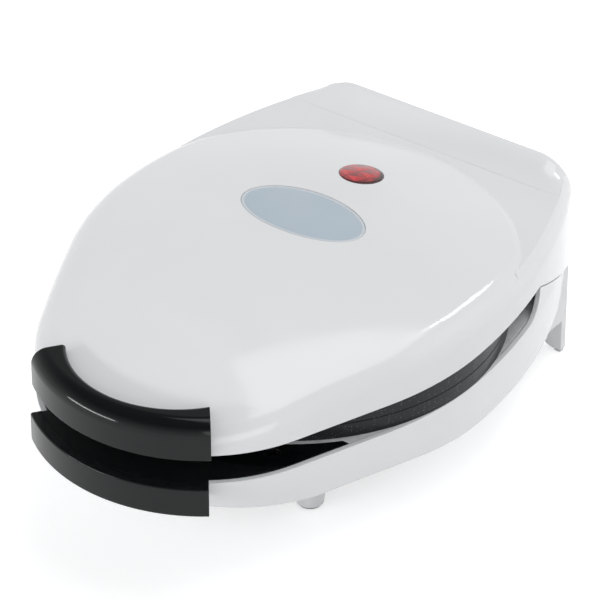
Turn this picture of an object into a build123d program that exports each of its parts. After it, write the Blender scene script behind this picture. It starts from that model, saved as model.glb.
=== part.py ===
from build123d import *
from math import acos, asin, atan2, cos, degrees, radians, sin, sqrt
import os

# Electric pizza maker: an egg-shaped base with a heated dish, and a domed lid with a
# second heated dish that swings up about a rod at the rear. Millimetres, Z up, the
# handle towards -Y. The dishes' own axis is the construction axis; the finished
# pieces are moved along Y so that the origin lies on the floor under the middle of
# the whole product.

# Heights above the floor
deck_z = 72.0
edge_gap = 16.0
body_break_z = 40.0
bowl_floor_z = 14.0
block_floor_z = 20.0

# Outline of the body, seen from above: its room beside, before and behind the dishes
side_margin = 0.5
front_room = 46.5
rear_room = 30.0
widest_y = 5.0
nose_radius = 82.5
bow_radius = 157.0
flank_radius = 290.0

# Outline of the base where its wall turns under, and of its flat floor
break_inset = 4.5
break_widest_y = 15.0
break_nose_radius = 81.5
break_nose_back = 27.0
break_flank_radius = 264.0
floor_inset = 42.5
floor_nose_radius = 50.0
floor_nose_back = 37.0
floor_flank_radius = 170.0
floor_rear_in = 43.0
block_depth = 35.0

# Dome of the lid and the raised block behind it
wall = 2.5
apex_z = 126.5
apex_y = -3.0
dome_radius = 385.0
shoulder_radius = 14.0
dome_rear_margin = 10.5
dome_corner_radius = 30.0
block_top_z = 114.4
block_corner_radius = 17.5
block_start_y = 46.0
shelf_z = 108.5
shelf_setback = 24.0
lip_depth = 3.0
rise_root = 1.5
rise_shares = (0.1, 0.4, 0.7, 1.0)

# Seam between the lid's skirt and the base's cheeks
seam_run = 69.0
seam_rear_z = 54.0
seam_gap = 0.7
cheek_run = 11.0
cheek_hollow = (0.72, 0.3)

# Fits
snug_gap = 0.15
panel_gap = 0.3
pin_play = 0.05
hinge_side_gap = 0.7
arm_heel = 4.0
arm_front_gap = 2.0

# Heated dishes
dish_radius = 108.0
dish_floor_radius = 95.0
dish_wall_top_radius = 98.5
dish_skirt_thickness = 2.5
dish_lip_thickness = 2.6
dish_depth = 11.0
dish_thickness = 3.5
dish_body_radius = 100.0
deck_opening_radius = 101.5
deck_thickness = 2.5
deck_rib = 2.0

# Heating elements and what holds them
element_ring_radius = 70.0
element_radius = 3.2
element_end_angle = 14.0
element_drop = 8.5
pin_length = 5.0
element_pin_radius = 1.5
clamp_width = 9.0
clamp_thickness = 1.0
clamp_pad = 7.0
clamp_angles = (60, 180, 300)
stud_ring_radius = 45.0
stud_radius = 4.5
stud_length = 10.0
stud_angles = (30, 150, 270)
shield_thickness = 0.8
shield_radius = 101.8
shield_floor_radius = 95.0
shield_flange_radius = 104.2
shield_tab_reach = 7.2
shield_tab_radius = 5.0
shield_tab_angles = (55, 125, 235, 305)
shield_screw_grip = 3.0
element_hole_radius = 5.0

# Thermostats and thermal fuses
thermostat_radius = 8.0
thermostat_height = 6.5
thermostat_flange_radius = 11.0
thermostat_flange_thickness = 1.0
thermostat_x = -22.0
blade_size = (1.0, 5.0, 3.0)
fuse_radius = 2.2
fuse_length = 20.0
fuse_y = -25.0

# Screws
screw_radius = 1.7
screw_head_radius = 3.2
screw_head_height = 2.0
screw_grip = 6.0
boss_radius = 4.2
front_screw_margin = 7.2
front_screw_angle = 31.0
rear_screw_margin = 16.6
rear_screw_angle = 47.6

# Handles, set round the nose of the body
handle_reach = 5.5
handle_half_angle = 37.1
handle_height = 16.0
handle_edge_round = 1.2
handle_inner_radius = 66.0
handle_lip = 0.3
lid_handle_reach = 3.8
lid_handle_half_angle = 38.0
lid_handle_height = 20.0
lid_handle_round = 8.0
lid_handle_inner_round = 2.4
lid_handle_inner_radius = 54.6
lid_handle_inner_lead = 20.1
handle_screw_angle = 20.0
lower_screw_rise = 5.0
lower_screw_depth = 15.5
lower_screw_length = 16.0
lid_screw_inset = 7.5
lid_screw_seat_z = 97.0
crescent_margin = 2.4
crescent_thickness = 2.2
crescent_end_lead = 2.0

# Hinge
hinge_setback = 7.0
hinge_z = 42.0
pin_radius = 2.5
pin_half_length = 61.0
eye_radius = 7.0
arm_x = 45.0
arm_width = 14.0
ear_thickness = 4.0
lid_opening = 100.0
slot_floor_z = 31.5
clip_radius = 4.2
clip_thickness = 0.8
clip_gap = 0.4

# Rear deck slope and the matching underside of the lid
slope_margin = 2.0
lid_slope_rear_z = 61.0
slope_overlap = 6.0

# Badge, lens and lamp
badge_length = 69.5
badge_width = 39.0
badge_y = 9.5
badge_thickness = 1.2
lens_radius = 11.4
lens_y = 60.3
lens_rise = 0.9
lens_flange_radius = 13.4
lens_flange_thickness = 0.8
lamp_holder_radius = 12.8
lens_depth = 3.8
lamp_holder_height = 9.0
lamp_holder_wall = 1.5
lamp_bar_width = 3.0
lamp_bar_thickness = 1.2
lamp_radius = 2.4
lamp_length = 14.0

# Feet
foot_x = 43.0
foot_y = -45.2
foot_top_radius = 8.8
foot_bottom_radius = 7.0
foot_reach = 8.0
pad_height = 1.5
pad_inset = 1.0
leg_width = 12.5
leg_depth = 4.2
leg_round = 8.0
leg_pad_inset = 0.4

# Bottom cover, terminal block and cord bush
cover_length = 84.0
cover_depth = 26.0
cover_lap = 5.0
cover_thickness = 2.0
cover_setback = 20.0
terminal_length = 16.0
terminal_depth = 11.0
terminal_height = 10.0
terminal_x = -56.0
terminal_setback = 23.5
terminal_pitch = 5.0
bush_x = 0.0
bush_z = 32.0
bush_radius = 6.5
bush_bore_radius = 3.6
bush_length = 15.0
bush_flange_radius = 8.5
bush_flange_thickness = 2.0

# Leads
lead_radius = 1.3
lead_bend = 3.0

# Sizes worked out from the ones above
half_width = dish_radius + side_margin
nose_y = nose_radius - dish_radius - front_room
rear_y = dish_radius + rear_room
dome_rear_radius = half_width + dome_rear_margin
shelf_end_y = rear_y - shelf_setback
seam_start_y = rear_y - seam_run
block_front_y = rear_y - block_depth
hinge_y = rear_y - hinge_setback
slope_start_y = dish_radius + slope_margin
cover_y = rear_y - cover_setback
terminal_y = rear_y - terminal_setback
handle_radius = nose_radius + handle_reach
lid_handle_radius = nose_radius + lid_handle_reach
lid_handle_inner_y = nose_y - lid_handle_inner_lead
lid_screw_radius = nose_radius - lid_screw_inset
crescent_end_y = nose_y - crescent_end_lead
edge_z = deck_z + edge_gap
meet_z = deck_z + edge_gap / 2
deck_under_z = deck_z - deck_thickness - deck_rib
dish_floor_z = meet_z - dish_depth
dish_under_z = dish_floor_z - dish_thickness
shield_floor_z = dish_under_z - stud_length
shield_flange_z = deck_under_z - shield_thickness
handle_under_z = deck_z - handle_height
crescent_z = deck_z - crescent_thickness
lid_handle_top_z = edge_z + lid_handle_height
cap_centre = Vector(0, apex_y, apex_z - dome_radius)
bow_to_nose = Vector(bow_radius - half_width, nose_y - widest_y)
side_lean = (atan2(bow_to_nose.Y, bow_to_nose.X)
             + acos((bow_radius - nose_radius) / bow_to_nose.length))
break_nose = (break_nose_radius, nose_y + break_nose_back)
break_wide = (half_width - break_inset, break_widest_y)
floor_nose = (floor_nose_radius, nose_y + floor_nose_back)
floor_wide = (half_width - floor_inset, break_widest_y)
rear_corner_x = half_width - flank_radius + sqrt(flank_radius ** 2 - (rear_y - widest_y) ** 2)
crescent_radius = dish_radius + crescent_margin
front_screw_radius = crescent_radius + front_screw_margin
front_screw = (front_screw_radius * sin(radians(front_screw_angle)),
               -front_screw_radius * cos(radians(front_screw_angle)))
rear_screw_radius = dish_radius + rear_screw_margin
rear_screw = (rear_screw_radius * cos(radians(rear_screw_angle)),
              rear_screw_radius * sin(radians(rear_screw_angle)))
shield_tab_ring_radius = shield_radius + shield_tab_reach
front_reach = handle_radius - nose_y
origin_shift = (front_reach - rear_y) / 2
far = 400.0
spare = 10.0
pass_over = 1.0


def outline(inset=0.0, nose=(nose_radius, nose_y), wide=(half_width, widest_y),
            flank=flank_radius, back=rear_y):
    """Egg shape with a straight back, moved inwards by inset. A nose arc, a line at
    the side's lean, a bow arc and a flank arc follow each other without a corner."""
    turn = side_lean
    side = Vector(cos(turn), sin(turn))
    bow = (side.Y * (nose[1] - wide[1]) + nose[0] - wide[0] * side.X) / (1 - side.X)
    nose_r = nose[0] - inset
    bow_r = bow - inset
    flank_r = flank - inset
    back_y = back - inset
    nose_c = Vector(0, nose[1])
    bow_c = Vector(wide[0] - bow, wide[1])
    flank_c = Vector(wide[0] - flank, wide[1])
    nose_end = nose_c + side * nose_r
    bow_start = bow_c + side * bow_r
    bow_middle = bow_c + Vector(cos(turn / 2), sin(turn / 2)) * bow_r
    widest = Vector(wide[0] - inset, wide[1])
    corner = Vector(flank_c.X + sqrt(flank_r ** 2 - (back_y - flank_c.Y) ** 2), back_y)
    half_turn = atan2(corner.Y - flank_c.Y, corner.X - flank_c.X) / 2
    flank_middle = flank_c + Vector(cos(half_turn), sin(half_turn)) * flank_r
    right = [
        Line(nose_end, bow_start),
        ThreePointArc(bow_start, bow_middle, widest),
        ThreePointArc(widest, flank_middle, corner),
    ]
    left = [mirror(edge, Plane.YZ) for edge in right]
    front = ThreePointArc((-nose_end.X, nose_end.Y), (0, nose_c.Y - nose_r), nose_end)
    back_line = Line(corner, (-corner.X, corner.Y))
    return make_face([front] + right + [back_line] + left)


def upright(face, z_low, z_high):
    """Straight wall or block between two heights over a flat shape."""
    return Pos(0, 0, z_low) * extrude(face, z_high - z_low)


def side_bar(points, x_low=-far / 2, x_high=far / 2):
    """Bar along X whose section in the YZ plane is a polygon of (y, z) points."""
    section = make_face(Polyline([(x_low, y, z) for y, z in points], close=True))
    return extrude(section, x_high - x_low, dir=(1, 0, 0))


def post(x, y, z_low, z_high, radius, top_radius=None):
    """Upright cylinder or cone."""
    height = z_high - z_low
    foot = Pos(x, y, z_low + height / 2)
    if top_radius is None:
        return foot * Cylinder(radius, height)
    return foot * Cone(radius, top_radius, height)


def rod_x(y, z, x_low, x_high, radius):
    """Round rod along X."""
    return Pos((x_low + x_high) / 2, y, z) * Rot(0, 90, 0) * Cylinder(radius, x_high - x_low)


def screw(x, y, head_z, points_up, grip=screw_grip):
    """Pan-head screw whose head rests against the height head_z."""
    way = 1 if points_up else -1
    shank = post(x, y, min(head_z, head_z + way * grip),
                 max(head_z, head_z + way * grip), screw_radius)
    head = post(x, y, min(head_z, head_z - way * screw_head_height),
                max(head_z, head_z - way * screw_head_height), screw_head_radius)
    return shank + head


def on_ring(radius, angles):
    """Points on a circle about the dishes' axis, angles in degrees from +X."""
    return [(radius * cos(radians(a)), radius * sin(radians(a))) for a in angles]


def both_sides(point):
    return [point, (-point[0], point[1])]


def seam_z(y):
    """Height of the seam between skirt and cheek at a place along Y."""
    slope = (edge_z - seam_rear_z) / (rear_y - seam_start_y)
    return edge_z - (y - seam_start_y) * slope


def cap_z(y):
    """Height of the dome's surface on the middle plane."""
    return cap_centre.Z + sqrt(dome_radius ** 2 - (y - cap_centre.Y) ** 2)


def nose_sector(outer_radius, z_low, z_high, half_angle=handle_half_angle):
    """Wedge of a cylinder about the nose's centre, as wide as a handle."""
    reach = outer_radius / cos(radians(half_angle)) + spare
    spread = reach * sin(radians(half_angle))
    depth = reach * cos(radians(half_angle))
    wedge = make_face(Polyline([(0, nose_y), (-spread, nose_y - depth),
                                (spread, nose_y - depth)], close=True))
    disc = Pos(0, nose_y) * Circle(outer_radius)
    return upright(wedge & disc, z_low, z_high)


# Outer shapes of lid and base
def dome_form(inset):
    """Dome: the egg shape closed behind by an arc, cut by a sphere, shoulder rounded."""
    ahead = Rectangle(far, far, align=(Align.CENTER, Align.MAX))
    plan = outline(inset) & (ahead + Circle(dome_rear_radius - inset))
    kinks = [v for v in plan.vertices() if v.Y > widest_y + pass_over and abs(v.X) > half_width / 2]
    plan = fillet(kinks, dome_corner_radius)
    body = upright(plan, edge_z, apex_z + spare)
    body = body & (Pos(*cap_centre) * Sphere(dome_radius - inset))
    crown = body.faces().sort_by(Axis.Z)[-1]
    return fillet(crown.edges(), shoulder_radius - inset)


def flank_x(y, inset=0.0):
    """Half width of the body behind its widest place."""
    arc_x = half_width - flank_radius
    return arc_x + sqrt((flank_radius - inset) ** 2 - (y - widest_y) ** 2)


def rise_section(y, height, inset):
    """Upright section of the rise to the lip: level in the middle, with both ends
    rounded down to the shelf beside the flanks."""
    radius = block_corner_radius - inset
    drop = block_top_z - shelf_z
    run = sqrt(radius ** 2 - (radius - drop) ** 2)
    edge = flank_x(y, inset) - radius + run
    shelf = shelf_z - inset
    bend = (run ** 2 + height ** 2) / (2 * height)
    half = asin(run / bend) / 2
    middle = (edge - run + bend * sin(half), shelf + height - bend * (1 - cos(half)))
    right = ThreePointArc((edge - run, y, shelf + height), (middle[0], y, middle[1]),
                          (edge, y, shelf))
    top = Line((run - edge, y, shelf + height), (edge - run, y, shelf + height))
    below = Polyline([(edge, y, shelf), (edge, y, shelf - rise_root),
                      (-edge, y, shelf - rise_root), (-edge, y, shelf)])
    return make_face([top, right, mirror(right, Plane.YZ)] + below.edges())


def block_form(inset):
    """Raised block behind the dome: rounded flanks, a flat shelf, and a hollow rise to
    a lip at the rear that runs out before the flanks."""
    top = block_top_z - inset
    shelf = shelf_z - inset
    lip_y = rear_y - lip_depth
    behind = Pos(0, block_start_y) * Rectangle(far, far, align=(Align.CENTER, Align.MIN))
    block = upright(outline(inset) & behind, seam_rear_z - spare, top)
    flanks = [e for e in block.faces().sort_by(Axis.Z)[-1].edges()
              if e.geom_type == GeomType.CIRCLE]
    block = fillet(flanks, block_corner_radius - inset)
    ahead = Pos(0, lip_y) * Rectangle(far, far, align=(Align.CENTER, Align.MAX))
    block = block - upright(ahead, shelf, top + spare)
    sections = []
    for share in rise_shares:
        sections.append(rise_section(shelf_end_y + (lip_y - shelf_end_y) * share,
                                     (top - shelf) * share ** 2, inset))
    return block + loft(sections)


def lid_form(inset):
    body = dome_form(inset) + block_form(inset)
    return body - side_bar([(-far, -far), (-far, edge_z), (seam_start_y, edge_z),
                            (rear_y + spare, seam_z(rear_y + spare)), (far, -far)])


def base_form(inset):
    """Bowl, cheeks and rear block of the base."""
    def level(z, **shape):
        return Pos(0, 0, z) * outline(inset, **shape)
    brim = level(deck_z)
    turn = level(body_break_z + inset / 2, nose=break_nose, wide=break_wide,
                 flank=break_flank_radius)
    floor = level(bowl_floor_z + inset, nose=floor_nose, wide=floor_wide,
                  flank=floor_flank_radius, back=rear_y - floor_rear_in)
    bowl = loft([turn, brim], ruled=True) + loft([floor, turn], ruled=True)
    rise = upright(outline(inset), deck_z, edge_z)
    back = Pos(0, block_front_y + inset) * Rectangle(
        2 * (rear_corner_x - inset), rear_y - block_front_y - 2 * inset,
        align=(Align.CENTER, Align.MIN))
    block = upright(outline(inset) & back, block_floor_z + inset, deck_z)
    return bowl + rise + block


def base_top_cut():
    """All that lies above the brim, the cheeks and the seam."""
    foot = seam_start_y - cheek_run
    head = seam_start_y + pass_over
    head_z = seam_z(head) - seam_gap
    curve = ThreePointArc((0, foot, deck_z),
                          (0, foot + (head - foot) * cheek_hollow[0],
                           deck_z + (head_z - deck_z) * cheek_hollow[1]),
                          (0, head, head_z))
    rest = Polyline([(0, head, head_z), (0, far, seam_z(far) - seam_gap), (0, far, far),
                     (0, -far, far), (0, -far, deck_z), (0, foot, deck_z)])
    return extrude(make_face([curve] + rest.edges()), far / 2, dir=(1, 0, 0), both=True)


# Handles
def crescent_plan(reach):
    """Front of the deck outside the dish's ring."""
    ahead = Pos(0, crescent_end_y) * Rectangle(far, far, align=(Align.CENTER, Align.MAX))
    return (Circle(far / 2) - Circle(crescent_radius - reach)) & ahead


def make_lower_handle(base_outer, base_room):
    strip = nose_sector(handle_radius, handle_under_z, deck_z + handle_lip)
    rim = [e for e in strip.edges().filter_by(GeomType.CIRCLE)]
    strip = fillet(rim, handle_edge_round)
    strip = strip - (Pos(0, nose_y, 0) * Cylinder(handle_inner_radius, far))
    bridge = nose_sector(nose_radius + pass_over, crescent_z, deck_z)
    bridge = bridge - Cylinder(crescent_radius, far)
    crescent = upright(crescent_plan(0), crescent_z, deck_z) & base_room
    return strip - base_outer + bridge + crescent


def make_lid_handle(lid_outer):
    """Sector of a ring that stands on the lid's nose, with a broad round towards the
    fingers and a small one towards the dome."""
    top = lid_handle_top_z
    ring = nose_sector(lid_handle_radius, edge_z, top, lid_handle_half_angle)
    ridge = ring.edges().filter_by(GeomType.CIRCLE).sort_by(Axis.Z)[-1]
    ring = fillet(ridge, lid_handle_round)
    ring = ring - (Pos(0, lid_handle_inner_y, 0) * Cylinder(lid_handle_inner_radius, far))
    inner = [e for e in ring.edges().filter_by(GeomType.CIRCLE).group_by(Axis.Z)[-1]
             if abs(e.radius - lid_handle_inner_radius) < snug_gap]
    ring = fillet(inner, lid_handle_inner_round)
    return ring - lid_outer


def lower_handle_screws():
    """Screws that reach outwards through the nose of the bowl into the handle."""
    z = handle_under_z + lower_screw_rise
    seat = nose_radius - lower_screw_depth
    group = []
    for side in (-1, 1):
        place = Pos(0, nose_y, z) * Rot(0, 0, -90 + side * handle_screw_angle)
        shank = Pos(seat, 0, 0) * Rot(0, 90, 0) * Cylinder(
            screw_radius, lower_screw_length, align=(Align.CENTER, Align.CENTER, Align.MIN))
        head = Pos(seat, 0, 0) * Rot(0, 90, 0) * Cylinder(
            screw_head_radius, screw_head_height,
            align=(Align.CENTER, Align.CENTER, Align.MAX))
        group.append(place * (shank + head))
    return group


def handle_screw_places():
    """Where the lid handle's screws stand, on an arc round the nose."""
    turn = radians(handle_screw_angle)
    return both_sides((lid_screw_radius * sin(turn), nose_y - lid_screw_radius * cos(turn)))


def lid_handle_screws():
    return [screw(x, y, lid_screw_seat_z, True) for x, y in handle_screw_places()]


# Heating set of the base; the lid's is its mirror image about the meeting plane
def make_dish():
    skirt_inner = dish_radius - dish_skirt_thickness
    lip_under = meet_z - dish_lip_thickness
    under_edge = dish_body_radius - dish_thickness
    section = make_face(Polyline([
        (0, 0, dish_under_z), (under_edge, 0, dish_under_z),
        (dish_body_radius, 0, dish_under_z + dish_thickness),
        (dish_body_radius + dish_thickness / 2, 0, lip_under), (skirt_inner, 0, lip_under),
        (skirt_inner, 0, deck_z), (dish_radius, 0, deck_z), (dish_radius, 0, meet_z),
        (dish_wall_top_radius, 0, meet_z), (dish_floor_radius, 0, dish_floor_z),
        (0, 0, dish_floor_z)], close=True))
    dish = revolve(section, Axis.Z)
    for x, y in on_ring(stud_ring_radius, stud_angles):
        dish = dish + post(x, y, shield_floor_z, dish_under_z, stud_radius)
        dish = dish - post(x, y, shield_floor_z - pass_over, shield_floor_z + screw_grip,
                           screw_radius)
    return dish


def make_element():
    """Tubular heater: nearly a full ring, with both ends turned down at the rear."""
    z = dish_under_z - element_radius
    start = 90 + element_end_angle
    ring = Pos(0, 0, z) * Rot(0, 0, start) * revolve(
        Pos(element_ring_radius, 0, 0) * Rot(90, 0, 0) * Circle(element_radius),
        Axis.Z, 360 - 2 * element_end_angle)
    parts = ring
    for x, y in on_ring(element_ring_radius, (start, 90 - element_end_angle)):
        parts = parts + Pos(x, y, z) * Sphere(element_radius)
        parts = parts + post(x, y, z - element_drop, z, element_radius)
        parts = parts + post(x, y, z - element_drop - pin_length, z - element_drop,
                             element_pin_radius)
    return parts


def make_clamps():
    """Saddle straps that hold the heater up against the dish, each with its rivet pads."""
    group = []
    under = dish_under_z - 2 * element_radius - panel_gap
    for angle in clamp_angles:
        r_in = element_ring_radius - element_radius - panel_gap - clamp_thickness
        r_out = element_ring_radius + element_radius + panel_gap + clamp_thickness
        low = under - clamp_thickness
        section = Polyline([
            (r_in - clamp_pad, 0, dish_under_z), (r_in - clamp_pad, 0, dish_under_z - clamp_thickness),
            (r_in, 0, dish_under_z - clamp_thickness), (r_in, 0, low), (r_out, 0, low),
            (r_out, 0, dish_under_z - clamp_thickness),
            (r_out + clamp_pad, 0, dish_under_z - clamp_thickness), (r_out + clamp_pad, 0, dish_under_z),
            (r_out - clamp_thickness, 0, dish_under_z), (r_out - clamp_thickness, 0, under),
            (r_in + clamp_thickness, 0, under), (r_in + clamp_thickness, 0, dish_under_z)],
            close=True)
        strap = extrude(make_face(section), clamp_width / 2, dir=(0, 1, 0), both=True)
        group.append(Rot(0, 0, angle) * strap)
    return group


def make_shield():
    """Pressed steel pan under the dish, with four ears below the deck."""
    floor_low = shield_floor_z - shield_thickness
    flange_top = shield_flange_z + shield_thickness
    section = make_face(Polyline([
        (0, 0, floor_low), (shield_floor_radius, 0, floor_low),
        (shield_radius, 0, shield_flange_z), (shield_flange_radius, 0, shield_flange_z),
        (shield_flange_radius, 0, flange_top),
        (shield_radius - shield_thickness, 0, flange_top),
        (shield_floor_radius - shield_thickness, 0, shield_floor_z),
        (0, 0, shield_floor_z)],
        close=True))
    pan = revolve(section, Axis.Z)
    for angle in shield_tab_angles:
        reach = shield_tab_ring_radius
        ear = Pos(shield_radius + shield_tab_reach / 2, 0) * Rectangle(
            shield_tab_reach, 2 * shield_tab_radius)
        ear = ear + Pos(reach, 0) * Circle(shield_tab_radius)
        pan = pan + Rot(0, 0, angle) * upright(ear, shield_flange_z, flange_top)
    for x, y in on_ring(shield_tab_ring_radius, shield_tab_angles):
        pan = pan - post(x, y, shield_flange_z - pass_over, flange_top + pass_over,
                         screw_radius + snug_gap)
    for x, y in on_ring(stud_ring_radius, stud_angles):
        pan = pan - post(x, y, floor_low - pass_over, shield_floor_z + pass_over,
                         screw_radius + snug_gap)
    ends = (90 + element_end_angle, 90 - element_end_angle)
    for x, y in on_ring(element_ring_radius, ends):
        pan = pan - post(x, y, floor_low - pass_over, shield_floor_z + pass_over,
                         element_hole_radius)
    return pan


def make_dish_screws():
    low = shield_floor_z - shield_thickness
    return [screw(x, y, low, True) for x, y in on_ring(stud_ring_radius, stud_angles)]


def make_shield_screws():
    places = on_ring(shield_tab_ring_radius, shield_tab_angles)
    return [screw(x, y, shield_flange_z, True, shield_screw_grip) for x, y in places]


def make_thermostat():
    """Round switch pressed flat on the back of the dish, with two blade terminals."""
    top = dish_under_z
    body = post(thermostat_x, 0, top - thermostat_height, top, thermostat_radius)
    body = body + post(thermostat_x, 0, top - thermostat_flange_thickness, top,
                       thermostat_flange_radius)
    for side in (-1, 1):
        blade = Box(*blade_size, align=(Align.CENTER, Align.CENTER, Align.MAX))
        place = Pos(thermostat_x + side * thermostat_radius / 2, 0, top - thermostat_height)
        body = body + place * blade
    return body


def make_fuse():
    """Thermal fuse in its sleeve, strapped under the dish."""
    z = dish_under_z - fuse_radius
    return rod_x(fuse_y, z, -fuse_length / 2, fuse_length / 2, fuse_radius)


def to_lid(shape):
    return mirror(shape, Plane.XY.offset(meet_z))


# Base
def hinge_ear_x():
    """Low and high X of the four fixed ears beside the two lid arms."""
    spans = []
    for side in (-1, 1):
        for face in (-1, 1):
            near = side * arm_x + face * (arm_width / 2 + hinge_side_gap)
            spans.append((min(near, near + face * ear_thickness),
                          max(near, near + face * ear_thickness)))
    return spans


def arm_slot(z_low, z_high, y_low, y_high):
    """Room for both lid arms between two heights and two places along Y."""
    width = arm_width + 2 * hinge_side_gap
    slots = []
    for side in (-1, 1):
        slots.append(Pos(side * arm_x, (y_low + y_high) / 2, (z_low + z_high) / 2)
                     * Box(width, y_high - y_low, z_high - z_low))
    return slots[0] + slots[1]


def deck_slope(top_gap):
    """Line of the deck behind the dish, from its flat part down to the rear wall."""
    end_y = rear_y - wall - panel_gap
    end_z = seam_z(end_y) - seam_gap - top_gap
    return (slope_start_y, deck_z - top_gap), (end_y, end_z)


def make_base_shell(base_outer):
    shell = base_outer - base_form(wall) - base_top_cut()
    for x_low, x_high in hinge_ear_x():
        ear = rod_x(hinge_y, hinge_z, x_low, x_high, eye_radius)
        ear = ear + side_bar([(hinge_y - eye_radius, hinge_z),
                              (hinge_y - eye_radius, block_floor_z + pass_over),
                              (rear_y - pass_over, block_floor_z + pass_over),
                              (rear_y - pass_over, hinge_z)],
                             x_low, x_high)
        shell = shell + ear
    shell = shell - rod_x(hinge_y, hinge_z, -far / 2, far / 2, pin_radius)
    shell = shell - arm_slot(slot_floor_z, deck_z, hinge_y + eye_radius - wall - pass_over,
                             rear_y + pass_over)
    room = base_outer - base_top_cut()
    for x, y in both_sides(front_screw) + both_sides(rear_screw):
        boss = post(x, y, bowl_floor_z, deck_under_z, boss_radius) & room
        shell = shell + boss
        shell = shell - post(x, y, deck_under_z - screw_grip, deck_z, screw_radius)
    for side in (-1, 1):
        shell = shell + rear_leg(side)
    cover_hole = Pos(0, cover_y) * Rectangle(cover_length - 2 * cover_lap,
                                             cover_depth - 2 * cover_lap)
    shell = shell - upright(cover_hole, block_floor_z - pass_over, block_floor_z + wall + pass_over)
    for x, y in cover_screw_places():
        shell = shell + (post(x, y, block_floor_z, block_floor_z + screw_grip + pass_over, boss_radius)
                         & room)
        shell = shell - post(x, y, block_floor_z - pass_over, block_floor_z + screw_grip,
                             screw_radius)
    shell = shell - (Pos(bush_x, rear_y, bush_z) * Rot(90, 0, 0)
                     * Cylinder(bush_radius + snug_gap, 4 * wall))
    clear = nose_sector(handle_radius + pass_over, crescent_z, deck_z + pass_over)
    clear = clear - Cylinder(crescent_radius, far)
    shell = shell - clear
    for bolt in lower_handle_screws():
        shell = shell - bolt
    return shell


def rear_leg(side):
    """Rear wall carried down to the floor at a corner, its inner lower side rounded."""
    outer = rear_corner_x
    inner = rear_corner_x - leg_width
    arc = ThreePointArc((inner, 0, pad_height + leg_round),
                        (inner + leg_round * (1 - cos(radians(45))), 0,
                         pad_height + leg_round * (1 - sin(radians(45)))),
                        (inner + leg_round, 0, pad_height))
    rest = Polyline([(inner + leg_round, 0, pad_height), (outer, 0, pad_height),
                     (outer, 0, block_floor_z + wall), (inner, 0, block_floor_z + wall),
                     (inner, 0, pad_height + leg_round)])
    bar = extrude(make_face([arc] + rest.edges()), far, dir=(0, 1, 0))
    leg = bar & upright(outline(), 0, block_floor_z + wall)
    leg = leg & Pos(0, rear_y - leg_depth, 0) * Box(
        far, far, far, align=(Align.CENTER, Align.MIN, Align.CENTER))
    return leg if side > 0 else mirror(leg, Plane.YZ)


def cover_screw_places():
    dx = cover_length / 2 - cover_lap + boss_radius
    return [(-dx, cover_y), (dx, cover_y)]


def make_bottom_cover():
    plate = Pos(0, cover_y) * RectangleRounded(cover_length + 4 * boss_radius, cover_depth,
                                               boss_radius)
    cover = upright(plate, block_floor_z - cover_thickness, block_floor_z)
    for x, y in cover_screw_places():
        cover = cover - post(x, y, 0, block_floor_z + pass_over, screw_radius + snug_gap)
    return cover


def make_deck(base_room):
    """White deck round the lower dish: flat, stepped down under the black crescent,
    and sloping to the rear wall with two slots for the lid arms."""
    flat = Pos(0, slope_start_y) * Rectangle(far, far, align=(Align.CENTER, Align.MAX))
    plan = (outline() & flat) - Circle(deck_opening_radius)
    deck = upright(plan, deck_under_z, deck_z)
    deck = deck - upright(crescent_plan(snug_gap), crescent_z, deck_z + pass_over)
    clear = nose_sector(handle_radius + pass_over, crescent_z, deck_z + pass_over)
    deck = deck - (clear - Cylinder(crescent_radius, far))
    top_start, top_end = deck_slope(0)
    low_start, low_end = deck_slope(deck_thickness)
    start_y = slope_start_y - slope_overlap
    slope = side_bar([(start_y, deck_z - deck_thickness), (start_y, deck_z),
                      top_start, top_end, low_end, low_start])
    slope = slope - Cylinder(deck_opening_radius, far)
    deck = (deck + slope) & base_room
    deck = deck - arm_slot(0, far / 2, hinge_y - eye_radius - arm_front_gap,
                           rear_y + pass_over)
    for x, y in both_sides(front_screw) + both_sides(rear_screw):
        deck = deck - post(x, y, deck_under_z - pass_over, deck_z + pass_over, screw_radius + snug_gap)
    for x, y in both_sides(rear_screw):
        deck = deck - post(x, y, deck_z - screw_head_height, deck_z + pass_over,
                           screw_head_radius + snug_gap)
    for x, y in on_ring(shield_tab_ring_radius, shield_tab_angles):
        deck = deck - post(x, y, deck_under_z - pass_over, shield_flange_z + shield_screw_grip,
                           screw_radius)
    return deck


def make_deck_screws():
    front = [screw(x, y, crescent_z, False) for x, y in both_sides(front_screw)]
    rear = [screw(x, y, deck_z - screw_head_height, False)
            for x, y in both_sides(rear_screw)]
    return front + rear


def drill_crescent(handle):
    for x, y in both_sides(front_screw):
        handle = handle - post(x, y, crescent_z - pass_over, deck_z + pass_over,
                               screw_head_radius + snug_gap)
    for bolt in lower_handle_screws():
        handle = handle - bolt
    return handle


def make_feet(base_outer):
    top = bowl_floor_z + foot_reach
    return [post(x, y, pad_height, top, foot_bottom_radius, foot_top_radius) - base_outer
            for x, y in both_sides((foot_x, foot_y))]


def make_foot_pads():
    return [post(x, y, 0, pad_height, foot_bottom_radius - pad_inset)
            for x, y in both_sides((foot_x, foot_y))]


def make_leg_pads():
    width = leg_width - leg_round - 2 * leg_pad_inset
    centre_x = rear_corner_x - leg_pad_inset - width / 2
    shape = RectangleRounded(width, leg_depth - 2 * leg_pad_inset, leg_pad_inset)
    return [upright(Pos(side * centre_x, rear_y - leg_depth / 2) * shape, 0, pad_height)
            for side in (-1, 1)]


def make_hinge_pin():
    return rod_x(hinge_y, hinge_z, -pin_half_length, pin_half_length,
                 pin_radius - pin_play / 2)


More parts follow.
